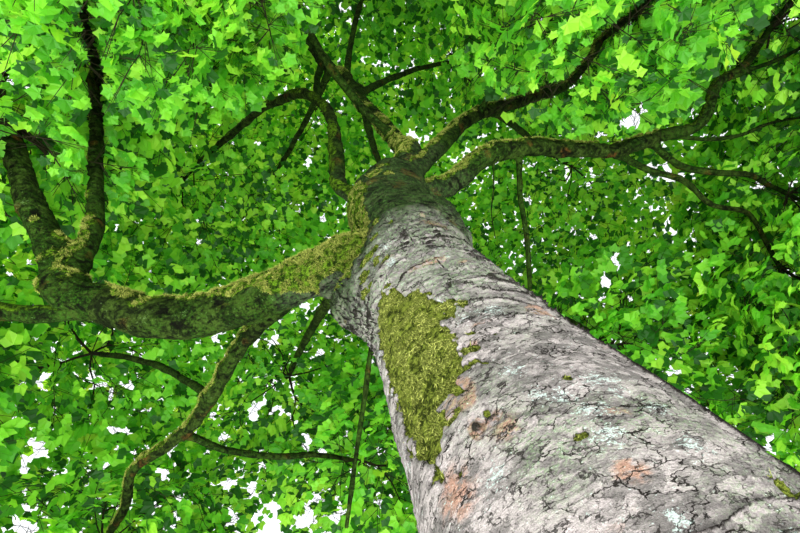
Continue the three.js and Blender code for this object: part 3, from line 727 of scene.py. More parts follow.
def make_trunk():
    grid, h, b = trunk_grid(trunk_heights(), trunk_bearings())
    grid = joined_grid(grid, [foot_meeting(limb) for limb in limbs.values() if limb["from"] == "trunk"])
    normals = grid_normals(grid).reshape(-1, 3)
    points, height, bearing = grid.reshape(-1, 3), h.ravel(), b.ravel()
    wander = 0.5 * noise(points, 0.5, 191, 2)
    ragged = 0.4 * noise(points, 0.16, 196, 3)
    bough = BOUGH_LOOK_MOST * smoothstep(*BOUGH_LOOK_FROM, height + wander + ragged)
    rough = smoothstep(*ROUGH_FROM, height + wander)
    relief, values = bark_surface(points, rough, bough)
    values["stain"] = np.clip(values["stain"] * 0.8 + smoothstep(*ALGAE_FROM, height), 0, 1)
    relief, values = trunk_marks(points, height, bearing, relief, values)
    relief = (relief + moss_relief(points, values["moss"])) * smoothstep(0, 0.06, height)
    points = points + relief[:, None] * normals
    rows, columns = h.shape
    cuts = np.linspace(0, rows - 1, len(TRUNK_PIECES) + 1).astype(int)
    for name, first, last in zip(TRUNK_PIECES, cuts, cuts[1:]):
        part = slice(first * columns, (last + 1) * columns)
        piece = make_mesh(name, points[part], [grid_faces(last + 1 - first, columns)], [trunk_bark],
                          {key: numbers[part] for key, numbers in values.items()})
        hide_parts("trunk")
    return moss_bed(points.reshape(grid.shape), values["moss"], 1.0)


# Limb meshes
LIMB_DETAIL = {"close": (0.0105, 0.0095), "near": (0.014, 0.013), "far": (0.028, 0.045)}
CLOSE_LIMBS = ["left_bough", "left_bough_upper"]
NEAR_LIMBS = CLOSE_LIMBS + ["left_tall_limb", "right_bough", "leader", "upright_limb", "low_left_limb"]
FOOT_LOOK = {"from": 0.75, "to": 1.4, "paler": 0.25, "algae": (1.2, 2.2)}
MOSSY_SIDE = unit(np.array([-0.1, -0.8, 0.5]))
MOSS_FROM = {"foot": -0.64, "beyond": 0.28}
MOSS_SPREAD = {"foot": 0.40, "beyond": 0.75}
LIMB_TUFTS = 1.5
FULL_RELIEF_THICK = 0.26


def limb_grid(limb):
    """The limb's middle line and its surface, in rings along it, run into what it meets."""
    detail = "close" if limb["name"] in CLOSE_LIMBS else ("near" if limb["name"] in NEAR_LIMBS else "far")
    around_step, along_step = LIMB_DETAIL[detail]
    columns = max(9, int(math.pi * limb["thick"][0] / around_step))
    rows = max(12, int(limb["length"] / along_step))
    t = np.linspace(0, 1, rows)
    line = smooth_along(limb["line"], t)
    _, sides, overs = carried_frames(line)
    angles = np.arange(columns) / columns * 2 * math.pi
    ring = np.cos(angles)[:, None] * sides[:, None] + np.sin(angles)[:, None] * overs[:, None]
    lumps = 1 + 0.09 * noise(line, 0.28, 301) + 0.05 * noise(line, 0.12, 311)
    grid = line[:, None] + ring * (limb_radius(limb, t) * lumps)[:, None, None]
    children = [child for child in limbs.values() if child["from"] == limb["name"] and child["at"] < 1]
    meets = [foot_meeting(child) for child in children]
    size = joint_size(limb)
    if limb["from"] == "trunk":
        meets.append((trunk_distance, FILLET["foot_on_trunk"] * size))
    elif limb["at"] < 1:
        meets.append((lambda points: limb_distance(limbs[limb["from"]], points, size), size))
    return line, joined_grid(grid, meets)


def limb_looks(limb, points, normals, along):
    """The limb's relief and values: its foot looks like the trunk round it."""
    bough = np.ones(len(points))
    if limb["from"] == "trunk":
        foot = BOUGH_LOOK_MOST * smoothstep(*BOUGH_LOOK_FROM, limb["at"] - FOOT_LOOK["paler"])
        away = smoothstep(FOOT_LOOK["from"], FOOT_LOOK["to"], along + 0.3 * noise(points, 0.3, 331, 2))
        bough = foot + (1 - foot) * away
    relief, values = bark_surface(points, bough, bough)
    values["stain"] = np.maximum(values["stain"], 1 - smoothstep(*FOOT_LOOK["algae"], along))
    start, spread = MOSS_FROM["beyond"], MOSS_SPREAD["beyond"]
    if limb["name"] == "left_bough":
        by_foot = 1 - smoothstep(0.9, 1.6, along)
        start = start + (MOSS_FROM["foot"] - start) * by_foot
        spread = spread + (MOSS_SPREAD["foot"] - spread) * by_foot
    facing = normals @ MOSSY_SIDE + spread * noise(points, 0.24, 321, 4)
    values["moss"] = smoothstep(start, start + 0.35, facing) * smoothstep(0.04, 0.12, limb["thick"][0] / 2)
    return relief + moss_relief(points, values["moss"]), values


def limb_mesh(limb):
    """Points, values and faces of a limb with its bark, and where tufts of moss can stand on it."""
    line, grid = limb_grid(limb)
    rows, columns = grid.shape[:2]
    points, normals = grid.reshape(-1, 3), grid_normals(grid).reshape(-1, 3)
    along = np.repeat(np.linspace(0, limb["length"], rows), columns)
    relief, values = limb_looks(limb, points, normals, along)
    scale = np.clip(limb["thick"][0] / FULL_RELIEF_THICK, 0.30, 1.0)
    points = points + (relief * scale)[:, None] * normals
    near = limb["name"] in NEAR_LIMBS
    bed = moss_bed(points.reshape(grid.shape), values["moss"], LIMB_TUFTS) if near else None
    caps = []
    for first, end in ((0, line[0]), ((rows - 1) * columns, line[-1])):
        rim = first + np.arange(columns)
        hub = np.full(columns, len(points))
        pair = [rim, np.roll(rim, -1)] if first else [np.roll(rim, -1), rim]
        caps.append(np.stack(pair + [hub], -1))
        points = np.concatenate([points, end[None]])
        values = {key: np.append(numbers, numbers[first]) for key, numbers in values.items()}
    return points, values, [grid_faces(rows, columns), np.concatenate(caps)], bed


def joined(parts):
    """Several (points, values, [quads, triangles]) as one."""
    points = np.concatenate([part[0] for part in parts])
    starts = np.cumsum([0] + [len(part[0]) for part in parts[:-1]])
    values = {key: np.concatenate([part[1][key] for part in parts]) for key in parts[0][1]}
    faces = [np.concatenate([part[2][k] + start for part, start in zip(parts, starts)]) for k in range(2)]
    return points, values, faces


# Moss tufts: rosettes of short blades, larger and brighter on the clumps
MOSS_TUFTS = {"count": 30000, "blades": 5, "long": 0.020, "wide": 0.0048, "clump": 0.045, "hang": 0.35,
              "lean": 0.7, "lift": 0.15, "scatter": 0.004, "sunk": 0.003}
BLADE_SIZE = {"least": 0.45, "bright": 0.6, "more": 0.4}


def make_moss(beds, material):
    points, normals, odds, sizes = (np.concatenate([bed[k] for bed in beds]) for k in range(4))
    draw = np.random.default_rng(41)
    clump = 0.5 + 0.5 * noise(points, MOSS_TUFTS["clump"], 401, 2)
    odds = odds / sizes ** 2 * smoothstep(0.42, 0.60, clump)
    chosen = draw.choice(len(points), MOSS_TUFTS["count"], replace=False, p=odds / odds.sum())
    chosen = np.repeat(chosen, MOSS_TUFTS["blades"])
    count = len(chosen)
    out = normals[chosen]
    way = unit(out + MOSS_TUFTS["lean"] * draw.normal(size=(count, 3)) - [0, 0, MOSS_TUFTS["hang"]])
    way = way + np.maximum(0, MOSS_TUFTS["lift"] - (way * out).sum(-1, keepdims=True)) * out
    side = unit(np.cross(way, draw.normal(size=(count, 3))))
    bright = smoothstep(0.40, 0.70, clump[chosen] + 0.10 * draw.normal(size=count)) / sizes[chosen] ** 2
    share = BLADE_SIZE["least"] + BLADE_SIZE["bright"] * bright + BLADE_SIZE["more"] * draw.random(count)
    size = (sizes[chosen] * share)[:, None]
    foot = points[chosen] + MOSS_TUFTS["scatter"] * draw.normal(size=(count, 3)) - MOSS_TUFTS["sunk"] * out
    wide = MOSS_TUFTS["wide"] * size / 2
    corners = np.stack([foot - side * wide, foot + side * wide, foot + way * MOSS_TUFTS["long"] * size], 1)
    values = {"tip": np.tile([0.0, 0.0, 1.0], count), "bright": np.repeat(bright, 3)}
    faces = np.arange(3 * count).reshape(-1, 3)
    piece = make_mesh("moss_tufts", corners.reshape(-1, 3), [faces], [material], values, smooth=False)
    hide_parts("trunk")


# Materials
DULL = 0.05


def add(tree, kind, inputs=None, **settings):
    """A new node with its settings, its inputs set or linked."""
    node = tree.nodes.new(kind)
    for key, value in settings.items():
        setattr(node, key, value)
    for key, value in (inputs or {}).items():
        if isinstance(value, bpy.types.NodeSocket):
            tree.links.new(value, node.inputs[key])
        else:
            node.inputs[key].default_value = value
    return node


def tint(tree, share, low, high):
    """Colour low where share is 0 and high where it is 1."""
    node = add(tree, "ShaderNodeMix", data_type="RGBA")
    for key, value in ((0, share), (6, low), (7, high)):
        if isinstance(value, bpy.types.NodeSocket):
            tree.links.new(value, node.inputs[key])
        else:
            node.inputs[key].default_value = value if key == 0 else (*value[:3], 1)
    return node.outputs[2]


def sum_of(tree, operation, *terms):
    node = add(tree, "ShaderNodeMath", dict(enumerate(terms)), operation=operation)
    return node.outputs[0]


def times(tree, value, factor, plus=0.0):
    """value times factor, and plus added."""
    return sum_of(tree, "MULTIPLY_ADD", value, factor, plus)


def step_of(tree, value, low, high):
    node = add(tree, "ShaderNodeMapRange", {0: value, 1: low, 2: high}, interpolation_type="SMOOTHSTEP")
    return node.outputs[0]


def noise_of(tree, place, scale, detail, roughness=0.55):
    node = add(tree, "ShaderNodeTexNoise", {"Vector": place, "Scale": scale, "Detail": detail,
                                            "Roughness": roughness})
    return node.outputs["Fac"]


def new_group(name, inputs, outputs):
    """A shader node group with its own sockets: inputs and outputs are labels with the kind of each."""
    group = bpy.data.node_groups.new(name, "ShaderNodeTree")
    for in_out, sockets in (("INPUT", inputs), ("OUTPUT", outputs)):
        for label, kind in sockets.items():
            group.interface.new_socket(label, in_out=in_out, socket_type="NodeSocket" + kind)
    return group, group.nodes.new("NodeGroupInput").outputs, group.nodes.new("NodeGroupOutput").inputs


def plates_group():
    """Plates with ragged edges: the lines between them, which carry painted shade, come and go, and each has
    its own tint.
    """
    group, given, made = new_group(
        "bark plates", {"Place": "Vector", "Scale": "Float", "Width": "Float", "Share from": "Float"},
        {"Line": "Float", "Tint": "Float"})
    sized = add(group, "ShaderNodeVectorMath", {0: given["Place"], "Scale": given["Scale"]},
                operation="SCALE").outputs["Vector"]
    bend = add(group, "ShaderNodeTexNoise", {"Vector": sized, "Scale": 1.5, "Detail": 4.0, "Roughness": 0.62})
    warped = add(group, "ShaderNodeVectorMath", {0: bend.outputs["Color"], 1: (1.1, 1.1, 1.1), 2: sized},
                 operation="MULTIPLY_ADD").outputs["Vector"]
    edge = add(group, "ShaderNodeTexVoronoi", {"Vector": warped, "Scale": 1.0}, feature="DISTANCE_TO_EDGE")
    cell = add(group, "ShaderNodeTexVoronoi", {"Vector": warped, "Scale": 1.0}, feature="F1")
    number = add(group, "ShaderNodeSeparateColor", {0: cell.outputs["Color"]}).outputs[0]
    where = noise_of(group, sized, 0.8, 2, 0.5)
    present = step_of(group, sum_of(group, "SUBTRACT", where, given["Share from"]), 0.0, 0.14)
    inside = sum_of(group, "SUBTRACT", times(group, present, given["Width"]), edge.outputs["Distance"])
    line = sum_of(group, "DIVIDE", inside, times(group, given["Width"], 0.6, 0.0001))
    group.links.new(step_of(group, line, 0.0, 1.0), made["Line"])
    group.links.new(number, made["Tint"])
    return group


# Plates per metre, the width of the lines between them, and how much each size tints, darkens with painted
# shade in its lines and lifts
PLATE_KINDS = [
    {"scale": 7.5, "width": 0.030, "from": 0.45, "tint": 0.16, "dark": 1.0, "step": 1.3},
    {"scale": 17, "width": 0.050, "from": 0.47, "tint": 0.14, "dark": 0.85, "step": 0.7},
    {"scale": 42, "width": 0.070, "from": 0.50, "tint": 0.0, "dark": 0.6, "step": 0.0},
]
# Noise fields: whether they lie flat on the bark, bumps per metre, detail and roughness
BARK_NOISE = {
    "broad": (False, 5, 3, 0.55), "middle": (True, 22, 5, 0.65), "fine": (True, 75, 4, 0.7),
    "speck": (False, 210, 2, 0.6), "pile": (False, 95, 3, 0.7), "clump": (False, 27, 3, 0.6)}
FLATTER = (1, 1, 1.6)
MESH_VALUES = ["crack", "moss", "lichen", "stain", "bare", "gash_off", "gash_wide"]
BARK_COLOURS = ["Pale bark", "Dark bark", "Bare bark", "Lichen", "Algae", "Moss light", "Moss dark", "Painted shade"]


def bark_colour(group, given, field, plates):
    """Dry bark: plates in their tints, bare wood, algae and crusts of lichen."""
    middle, fine, speck = field["middle"], field["fine"], field["speck"]
    mixed = times(group, middle, 0.55, times(group, field["broad"], 0.30))
    for plate, kind in zip(plates, PLATE_KINDS):
        mixed = times(group, plate["Tint"], kind["tint"], mixed)
    colour = tint(group, step_of(group, mixed, 0.46, 0.70), given["Dark bark"], given["Pale bark"])
    blotches = step_of(group, middle, 0.38, 0.56)
    bare = step_of(group, times(group, plates[1]["Tint"], 0.35, field["bare"]), 0.35, 1.0)
    colour = tint(group, times(group, bare, blotches), colour, given["Bare bark"])
    algae = times(group, field["stain"], step_of(group, fine, 0.42, 0.58))
    algae = times(group, times(group, algae, blotches), given["Algae share"])
    colour = tint(group, algae, colour, given["Algae"])
    crust = times(group, speck, 0.35, times(group, field["lichen"], 0.20, fine))
    crust = step_of(group, times(group, middle, 0.4, crust), 1.03, 1.12)
    colour = tint(group, crust, colour, given["Lichen"])
    tone = times(group, fine, 1.1, times(group, speck, 1.0, -0.05))
    return add(group, "ShaderNodeHueSaturation", {"Value": tone, "Color": colour}).outputs["Color"]


def painted_crack_shade(group, field, plates):
    """Painted shade: where the bark is darkened between the plates, under the flakes and in the named cracks.
    """
    fine = field["fine"]
    gap = times(group, field["crack"], times(group, fine, 2.6, -0.35))
    crack_shade = step_of(group, gap, 0.30, 0.75)
    for plate, kind in zip(plates, PLATE_KINDS):
        crack_shade = sum_of(group, "MAXIMUM", crack_shade, times(group, plate["Line"], kind["dark"]))
    off = times(group, field["middle"], 0.03, sum_of(group, "ADD", field["gash_off"], -0.015))
    wide = times(group, field["gash_wide"], times(group, fine, 2.0, -0.3))
    gash = sum_of(group, "SUBTRACT", wide, sum_of(group, "ABSOLUTE", off))
    return sum_of(group, "MAXIMUM", crack_shade, step_of(group, gash, 0.0, 0.003))


def bark_group(bark_plates):
    """Colour, roughness and fine height of weathered bark with its moss, lichen and cracks, and painted shade
    between its plates, under its flakes and in its cracks.
    """
    group, given, made = new_group(
        "weathered bark", {**{name: "Color" for name in BARK_COLOURS}, "Algae share": "Float"},
        {"Color": "Color", "Roughness": "Float", "Height": "Float"})
    place = add(group, "ShaderNodeTexCoord").outputs["Object"]
    flat = add(group, "ShaderNodeMapping", {"Vector": place, "Scale": FLATTER}).outputs["Vector"]
    field = {name: noise_of(group, flat if lies_flat else place, *sizes)
             for name, (lies_flat, *sizes) in BARK_NOISE.items()}
    for name in MESH_VALUES:
        field[name] = add(group, "ShaderNodeAttribute", attribute_name=name).outputs["Fac"]
    plates = [add(group, "ShaderNodeGroup", {"Place": flat, "Scale": kind["scale"], "Width": kind["width"],
                                             "Share from": kind["from"]}, node_tree=bark_plates).outputs
              for kind in PLATE_KINDS]
    crack_shade = painted_crack_shade(group, field, plates)
    # Painted shade: the dry bark turns to the shade colour in the cracks, the lines between plates and the
    # gaps under the flakes.
    dry = tint(group, times(group, crack_shade, 0.94), bark_colour(group, given, field, plates), given["Painted shade"])
    lit = times(group, field["clump"], 0.6, times(group, field["pile"], 0.4))
    moss = tint(group, step_of(group, lit, 0.42, 0.60), given["Moss dark"], given["Moss light"])
    ragged = sum_of(group, "ADD", field["moss"], times(group, field["fine"], 1.2, -0.6))
    mossy = step_of(group, ragged, 0.40, 0.60)
    bump = times(group, field["middle"], 1.3, times(group, field["speck"], 0.35, field["fine"]))
    for plate, kind in zip(plates, PLATE_KINDS):
        bump = times(group, plate["Tint"], kind["step"], bump)
    bump = times(group, lit, times(group, mossy, 2.5), times(group, crack_shade, -1.5, bump))
    group.links.new(tint(group, mossy, dry, moss), made["Color"])
    group.links.new(times(group, field["fine"], 0.25, 0.72), made["Roughness"])
    group.links.new(bump, made["Height"])
    return group


def new_material(name):
    material = bpy.data.materials.new(name)
    material.use_nodes = True
    material.node_tree.nodes.clear()
    return material, material.node_tree


def surface(tree, colour, roughness, shine=DULL, **more):
    """The shader of a surface: more holds its further inputs."""
    inputs = {"Base Color": colour, "Roughness": roughness, "Specular IOR Level": shine}
    return add(tree, "ShaderNodeBsdfPrincipled", {**inputs, **more})


def finish_material(tree, shader):
    output = add(tree, "ShaderNodeOutputMaterial")
    tree.links.new(shader.outputs[0], output.inputs[0])


def bark_material(name, group, algae_share, bump_depth):
    """Bark whose colours go from the trunk's to the boughs' as the mesh says."""
    material, tree = new_material(name)
    bough = add(tree, "ShaderNodeAttribute", attribute_name="bough").outputs["Fac"]
    bark = add(tree, "ShaderNodeGroup", node_tree=group)
    for key, colour in TRUNK_COLOURS.items():
        tree.links.new(tint(tree, bough, colour, BOUGH_COLOURS[key]), bark.inputs[key])
    bark.inputs["Algae share"].default_value = algae_share
    bump = add(tree, "ShaderNodeBump", {"Height": bark.outputs["Height"], "Strength": 1.0,
                                        "Distance": bump_depth})
    shader = surface(tree, bark.outputs["Color"], bark.outputs["Roughness"], Normal=bump.outputs["Normal"])
    finish_material(tree, shader)
    return material


def leaf_material(name, colour, light_through):
    """A thin blade that is lit from both sides: light_through is its colour against the sky."""
    material, tree = new_material(name)
    place = add(tree, "ShaderNodeTexCoord").outputs["Object"]
    bump = add(tree, "ShaderNodeBump", {"Height": noise_of(tree, place, 60, 2), "Strength": 0.35,
                                        "Distance": 0.01})
    blade = surface(tree, colour, 0.5, LEAF_SHINE, Normal=bump.outputs["Normal"])
    through = add(tree, "ShaderNodeBsdfTranslucent", {"Color": light_through})
    both = add(tree, "ShaderNodeMixShader", {"Fac": LIGHT_THROUGH})
    tree.links.new(blade.outputs[0], both.inputs[1])
    tree.links.new(through.outputs[0], both.inputs[2])
    finish_material(tree, both)
    return material


def moss_material():
    """Moss blades, dark at the foot and bright at the tip."""
    material, tree = new_material("moss")
    place = add(tree, "ShaderNodeTexCoord").outputs["Object"]
    tip = add(tree, "ShaderNodeAttribute", attribute_name="tip").outputs["Fac"]
    bright = add(tree, "ShaderNodeAttribute", attribute_name="bright").outputs["Fac"]
    patch = times(tree, noise_of(tree, place, 9, 3), 1.6, -0.25)
    light = tint(tree, times(tree, bright, patch), MOSS["olive"], MOSS["bright"])
    finish_material(tree, surface(tree, tint(tree, tip, MOSS["foot"], light), 0.8))
    return material


def plain_material(name, colour, roughness, grain, darkest):
    """One colour, in spots down to the darkest share of it."""
    material, tree = new_material(name)
    place = add(tree, "ShaderNodeTexCoord").outputs["Object"]
    spotted = step_of(tree, noise_of(tree, place, grain, 3), 0.4, 0.6)
    dark = tuple(darkest * part for part in colour)
    finish_material(tree, surface(tree, tint(tree, spotted, dark, colour), roughness))
    return material


# The last colour of each set is painted shade for the cracks, the lines between plates and the gaps under the
# flakes.
TRUNK_COLOURS = {
    "Pale bark": (0.370, 0.328, 0.318), "Dark bark": (0.150, 0.136, 0.130), "Bare bark": (0.33, 0.195, 0.145),
    "Lichen": (0.38, 0.45, 0.42), "Algae": (0.145, 0.225, 0.105), "Moss light": (0.17, 0.21, 0.028),
    "Moss dark": (0.020, 0.028, 0.003), "Painted shade": (0.009, 0.007, 0.005)}
BOUGH_COLOURS = {
    "Pale bark": (0.026, 0.050, 0.006), "Dark bark": (0.004, 0.008, 0.001),
    "Bare bark": (0.070, 0.032, 0.007), "Lichen": (0.085, 0.135, 0.050), "Algae": (0.014, 0.058, 0.002),
    "Moss light": (0.08, 0.17, 0.006), "Moss dark": (0.006, 0.018, 0.001), "Painted shade": (0.002, 0.002, 0.001)}
MOSS = {"foot": (0.055, 0.072, 0.010), "olive": (0.29, 0.34, 0.055), "bright": (0.95, 1.0, 0.26)}
ALGAE_SHARE = 0.85
weathered = bark_group(plates_group())
trunk_bark = bark_material("trunk_bark", weathered, ALGAE_SHARE, 0.008)
bough_bark = bark_material("bough_bark", weathered, ALGAE_SHARE, 0.010)
moss_blades = moss_material()
twig_bark = plain_material("twig_bark", (0.020, 0.018, 0.009), 0.85, 30, 0.8)
LEAF_TONES = [
    ((0.052, 0.225, 0.011), (0.17, 0.72, 0.015)),
    ((0.095, 0.330, 0.018), (0.29, 0.88, 0.024)),
    ((0.160, 0.455, 0.024), (0.48, 0.98, 0.036)),
    ((0.012, 0.070, 0.005), (0.04, 0.27, 0.007)),
    ((0.260, 0.570, 0.036), (0.68, 1.00, 0.065)),
]
LIGHT_THROUGH = 0.45
LEAF_SHINE = 0.3
leaf_materials = []
for number, (colour, light_through) in enumerate(LEAF_TONES, 1):
    leaf_materials.append(leaf_material(f"leaf_tone_{number}", (*colour, 1), (*light_through, 1)))


# Trunk and limbs
moss_beds = [make_trunk()]
BOUGH_PIECES = {
    "left_boughs": ["left_bough", "left_bough_upper", "left_tall_limb"],
    "right_boughs": ["right_bough", "leader", "upright_limb"],
}
placed = {name for names in BOUGH_PIECES.values() for name in names}
BOUGH_PIECES["crown_limbs"] = [name for name in limbs if name not in placed and not limbs[name]["slim"]]
BOUGH_PIECES["slim_branches"] = [name for name in limbs if limbs[name]["slim"]]
for piece_name, names in BOUGH_PIECES.items():
    meshes = [limb_mesh(limbs[name]) for name in names]
    points, values, faces = joined(meshes)
    piece = make_mesh(piece_name, points, faces, [bough_bark], values)
    if not limbs[names[0]]["slim"]:
        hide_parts(*names)
    moss_beds += [mesh[3] for mesh in meshes if mesh[3]]
make_moss(moss_beds, moss_blades)


# Foliage: each mass keeps to its own part of the crown
MASS_CENTRE_AT = 0.62
TWIG_ENDS = 300
TWIG_END_INSET = 0.18
DRAWS_PER_END = 45
STEM_LENGTH = 0.35
PATH_WEIGHT = 0.35
TWIG_FACES = 3
TWIG_BOW = 0.12
FINEST_TWIG = 0.0055
LEAF_OVERHANG = 0.12
LIMB_CLEARANCE = 0.05
SPRAY_SHARE = 0.6
SHOOT_ROOM = 0.32

masses = []
for limb in limbs.values():
    if limb["reach"]:
        way = unit(limb["route"][-1] - limb["route"][-2])
        tip = limb["route"][-1]
        masses.append({"name": limb["name"] + "_foliage", "limb": limb, "tip": tip, "way": way,
                       "centre": tip + way * limb["reach"] * MASS_CENTRE_AT, "reach": limb["reach"]})
centres = np.array([mass["centre"] for mass in masses])


def inside_crown(points, margin):
    out = (np.linalg.norm(points[:, :2], axis=1) + margin) / CROWN_RADIUS
    above = points[:, 2] > CROWN_WIDEST_AT
    half = np.where(above, TREE_HEIGHT - CROWN_WIDEST_AT, CROWN_WIDEST_AT - CROWN_SKIRT)
    up = (np.abs(points[:, 2] - CROWN_WIDEST_AT) + margin) / half
    curve = np.where(above, CROWN_CURVE["above"], CROWN_CURVE["below"])
    return out ** curve + up ** curve < 1


def inside_mass(index, points, margin, crown_margin=0):
    mass = masses[index]
    own = np.linalg.norm(points - mass["centre"], axis=1)
    fits = (own < mass["reach"] - margin) & inside_crown(points, crown_margin)
    between = np.delete(centres, index, 0) - mass["centre"]
    apart = np.linalg.norm(between, axis=1)
    past = (points - mass["centre"]) @ between.T / apart
    return fits & (past < apart / 2 - margin).all(1)


def twig_ends(index, draw):
    """Twig ends spread evenly: of several draws, the one furthest from the rest."""
    mass = masses[index]
    taken = np.empty((TWIG_ENDS + 1, 3))
    taken[0] = mass["tip"]
    count = 1
    for _ in range(TWIG_ENDS):
        offers = mass["centre"] + (draw.random((DRAWS_PER_END, 3)) - 0.5) * 2 * mass["reach"]
        offers = offers[inside_mass(index, offers, TWIG_END_INSET, SHOOT_ROOM)]
        if len(offers):
            gaps = np.linalg.norm(offers[:, None] - taken[None, :count], axis=-1).min(1)
            taken[count] = offers[gaps.argmax()]
            count += 1
    ends = taken[1:count]
    return ends[np.linalg.norm(ends - mass["tip"], axis=1).argsort()]


def grow_twigs(mass, ends):
    """Each end joins the twig that gives it the shortest way back to the stem."""
    points = [mass["tip"], mass["tip"] + mass["way"] * STEM_LENGTH]
    paths, origin = [0, STEM_LENGTH], [0, 0]
    for end in ends:
        gaps = np.linalg.norm(np.array(points[1:]) - end, axis=1)
        best = int((gaps + PATH_WEIGHT * np.array(paths[1:])).argmin()) + 1
        origin.append(best)
        paths.append(paths[best] + gaps[best - 1])
        points.append(end)
    carries = np.ones(len(points))
    for i in range(len(points) - 1, 0, -1):
        carries[origin[i]] += carries[i]
    return np.array(points), np.array(origin), carries


def tubes(levels, sides):
    """Open tubes through the same number of levels each: levels are pairs of points and radii."""
    way = unit(levels[-1][0] - levels[0][0])
    side = unit(np.cross(way, np.where(np.abs(way[:, 2:]) > 0.9, [[1.0, 0, 0]], [[0, 0, 1.0]])))
    over = np.cross(way, side)
    angles = np.arange(sides) / sides * 2 * math.pi
    ring = np.cos(angles)[None, :, None] * side[:, None] + np.sin(angles)[None, :, None] * over[:, None]
    rings = [points[:, None] + ring * radii[:, None, None] for points, radii in levels]
    first = (np.arange(len(way)) * len(levels) * sides)[:, None, None]
    faces = grid_faces(len(levels), sides)[None] + first
    return np.stack(rings, 1).reshape(-1, 3), faces.reshape(-1, 4)


# Shoots at the twig ends carry the leaves in pairs, and one at the tip
SHOOTS = [
    {"turn": 0, "back": 0.0, "length": 0.46, "pairs": 4, "leaf": 0.205},
    {"turn": 60, "back": 0.10, "length": 0.32, "pairs": 2, "leaf": 0.190},
    {"turn": -60, "back": 0.16, "length": 0.32, "pairs": 2, "leaf": 0.190},
]
# Round the camera the leaves are nearer life size, and twice as many
NEAR_SPRAYS = {"within": 7.0, "leaf_share": 0.74}
SHOOT_THICK = (0.0050, 0.0025)
SHOOT_SPREAD = {"level": 0.25, "face": 0.8, "swing": 24, "droop": 0.06}
LEAF_TURN = {"from": 62, "less": 22, "spread": 26}
LEAF_SIZE = {"first": 1.08, "less": 0.35, "least": 0.75, "more": 0.5}
STALK = {"least": 0.55, "more": 0.3, "lift": 0.1}
LEAF_SPREAD = {"tilt": 1.1, "fall": 0.3, "way": 0.6}
SPRAYS = 8000
FULL_LEAF = np.array([
    (0, 0.10), (0.37, -0.02), (0.36, 0.22), (0.60, 0.46), (0.32, 0.62), (0, 1.0),
    (-0.32, 0.62), (-0.60, 0.46), (-0.36, 0.22), (-0.37, -0.02)])
FULL_DROOP = np.array([0.02, -0.05, 0.01, -0.09, 0.0, -0.16, 0.0, -0.09, 0.01, -0.05])
PLAIN_LEAF = np.array([
    (0, 0.08), (0.38, 0.00), (0.60, 0.46), (0.30, 0.62), (0, 1.0), (-0.30, 0.62), (-0.60, 0.46),
    (-0.38, 0.00)])
PLAIN_DROOP = np.array([0.02, -0.05, -0.09, 0.0, -0.16, 0.0, -0.09, -0.05])
FAR_LEAF = np.array([(0, 0.04), (0.42, 0.02), (0.58, 0.50), (0, 1.0), (-0.58, 0.50), (-0.42, 0.02)])
FAR_DROOP = np.array([0.02, -0.05, -0.09, -0.16, -0.09, -0.05])
PETIOLE_WIDTH = 0.004
FULL_LEAF_WITHIN = 6.5
PLAIN_LEAF_WITHIN = 12.5


def rotated(vectors, axis, degrees):
    """Vectors turned round a unit axis."""
    angle = np.radians(degrees)
    cosine, sine = np.cos(angle)[..., None], np.sin(angle)[..., None]
    along = (vectors * axis).sum(-1, keepdims=True)
    return vectors * cosine + np.cross(axis, vectors) * sine + axis * along * (1 - cosine)


def grow_shoots(ends, onward, draw, leaf_share):
    """Shoots at the twig ends, and the leaves in pairs along them."""
    level = onward * [1, 1, 0.45]
    level = unit(level + SHOOT_SPREAD["level"] * (draw.random(level.shape) - 0.5))
    face = unit(np.array([0, 0, 1.0]) + SHOOT_SPREAD["face"] * (draw.random(level.shape) - 0.5))
    face = unit(face - (face * level).sum(-1, keepdims=True) * level)
    shoots, leaves = [], []
    spray = draw.integers(SPRAYS, size=len(ends))
    for shoot in SHOOTS:
        swing = shoot["turn"] + SHOOT_SPREAD["swing"] * (draw.random(len(ends)) - 0.5)
        way = rotated(level, face, swing)
        start = ends - onward * shoot["back"]
        length = shoot["length"] * (0.8 + 0.4 * draw.random(len(ends)))
        tip = start + way * length[:, None]
        tip[:, 2] -= SHOOT_SPREAD["droop"] * length
        shoots.append((start, tip))
        for order in range(2 * shoot["pairs"] + 1):
            last = order == 2 * shoot["pairs"]
            share = 1.0 if last else (order // 2 + 1) / (shoot["pairs"] + 0.4)
            side = 0 if last else (1 if order % 2 else -1)
            turn = side * (LEAF_TURN["from"] - LEAF_TURN["less"] * share)
            turn = turn + LEAF_TURN["spread"] * (draw.random(len(ends)) - 0.5)
            blade = rotated(way, face, turn)
            size = leaf_share * shoot["leaf"] * (LEAF_SIZE["first"] - LEAF_SIZE["less"] * share)
            size = size * (LEAF_SIZE["least"] + LEAF_SIZE["more"] * draw.random(len(ends)))
            foot = start + (tip - start) * share
            stalk = size * (STALK["least"] + STALK["more"] * draw.random(len(ends)))
            base = foot + (blade + face * STALK["lift"]) * stalk[:, None]
            tilt = unit(face + LEAF_SPREAD["tilt"] * (draw.random(face.shape) - 0.5))
            bent = blade + [0, 0, -LEAF_SPREAD["fall"]]
            blade = unit(bent + LEAF_SPREAD["way"] * (draw.random(face.shape) - 0.5))
            leaves.append(np.concatenate([base, blade, tilt, foot, size[:, None], spray[:, None]], 1))
    return shoots, np.concatenate(leaves)


# Each leaf is a row: its base, way, tilt and the foot of its stalk in threes, then its size and its spray
SIZE_AT, SPRAY_AT = 12, 13


def leaf_middles(leaves):
    return leaves[:, :3] + leaves[:, 3:6] * leaves[:, SIZE_AT, None] * 0.5


def clear_of_limbs(points, clearance):
    clear = trunk_distance(points) > clearance
    for limb in limbs.values():
        clear &= limb_distance(limb, points, clearance) > clearance
    return clear


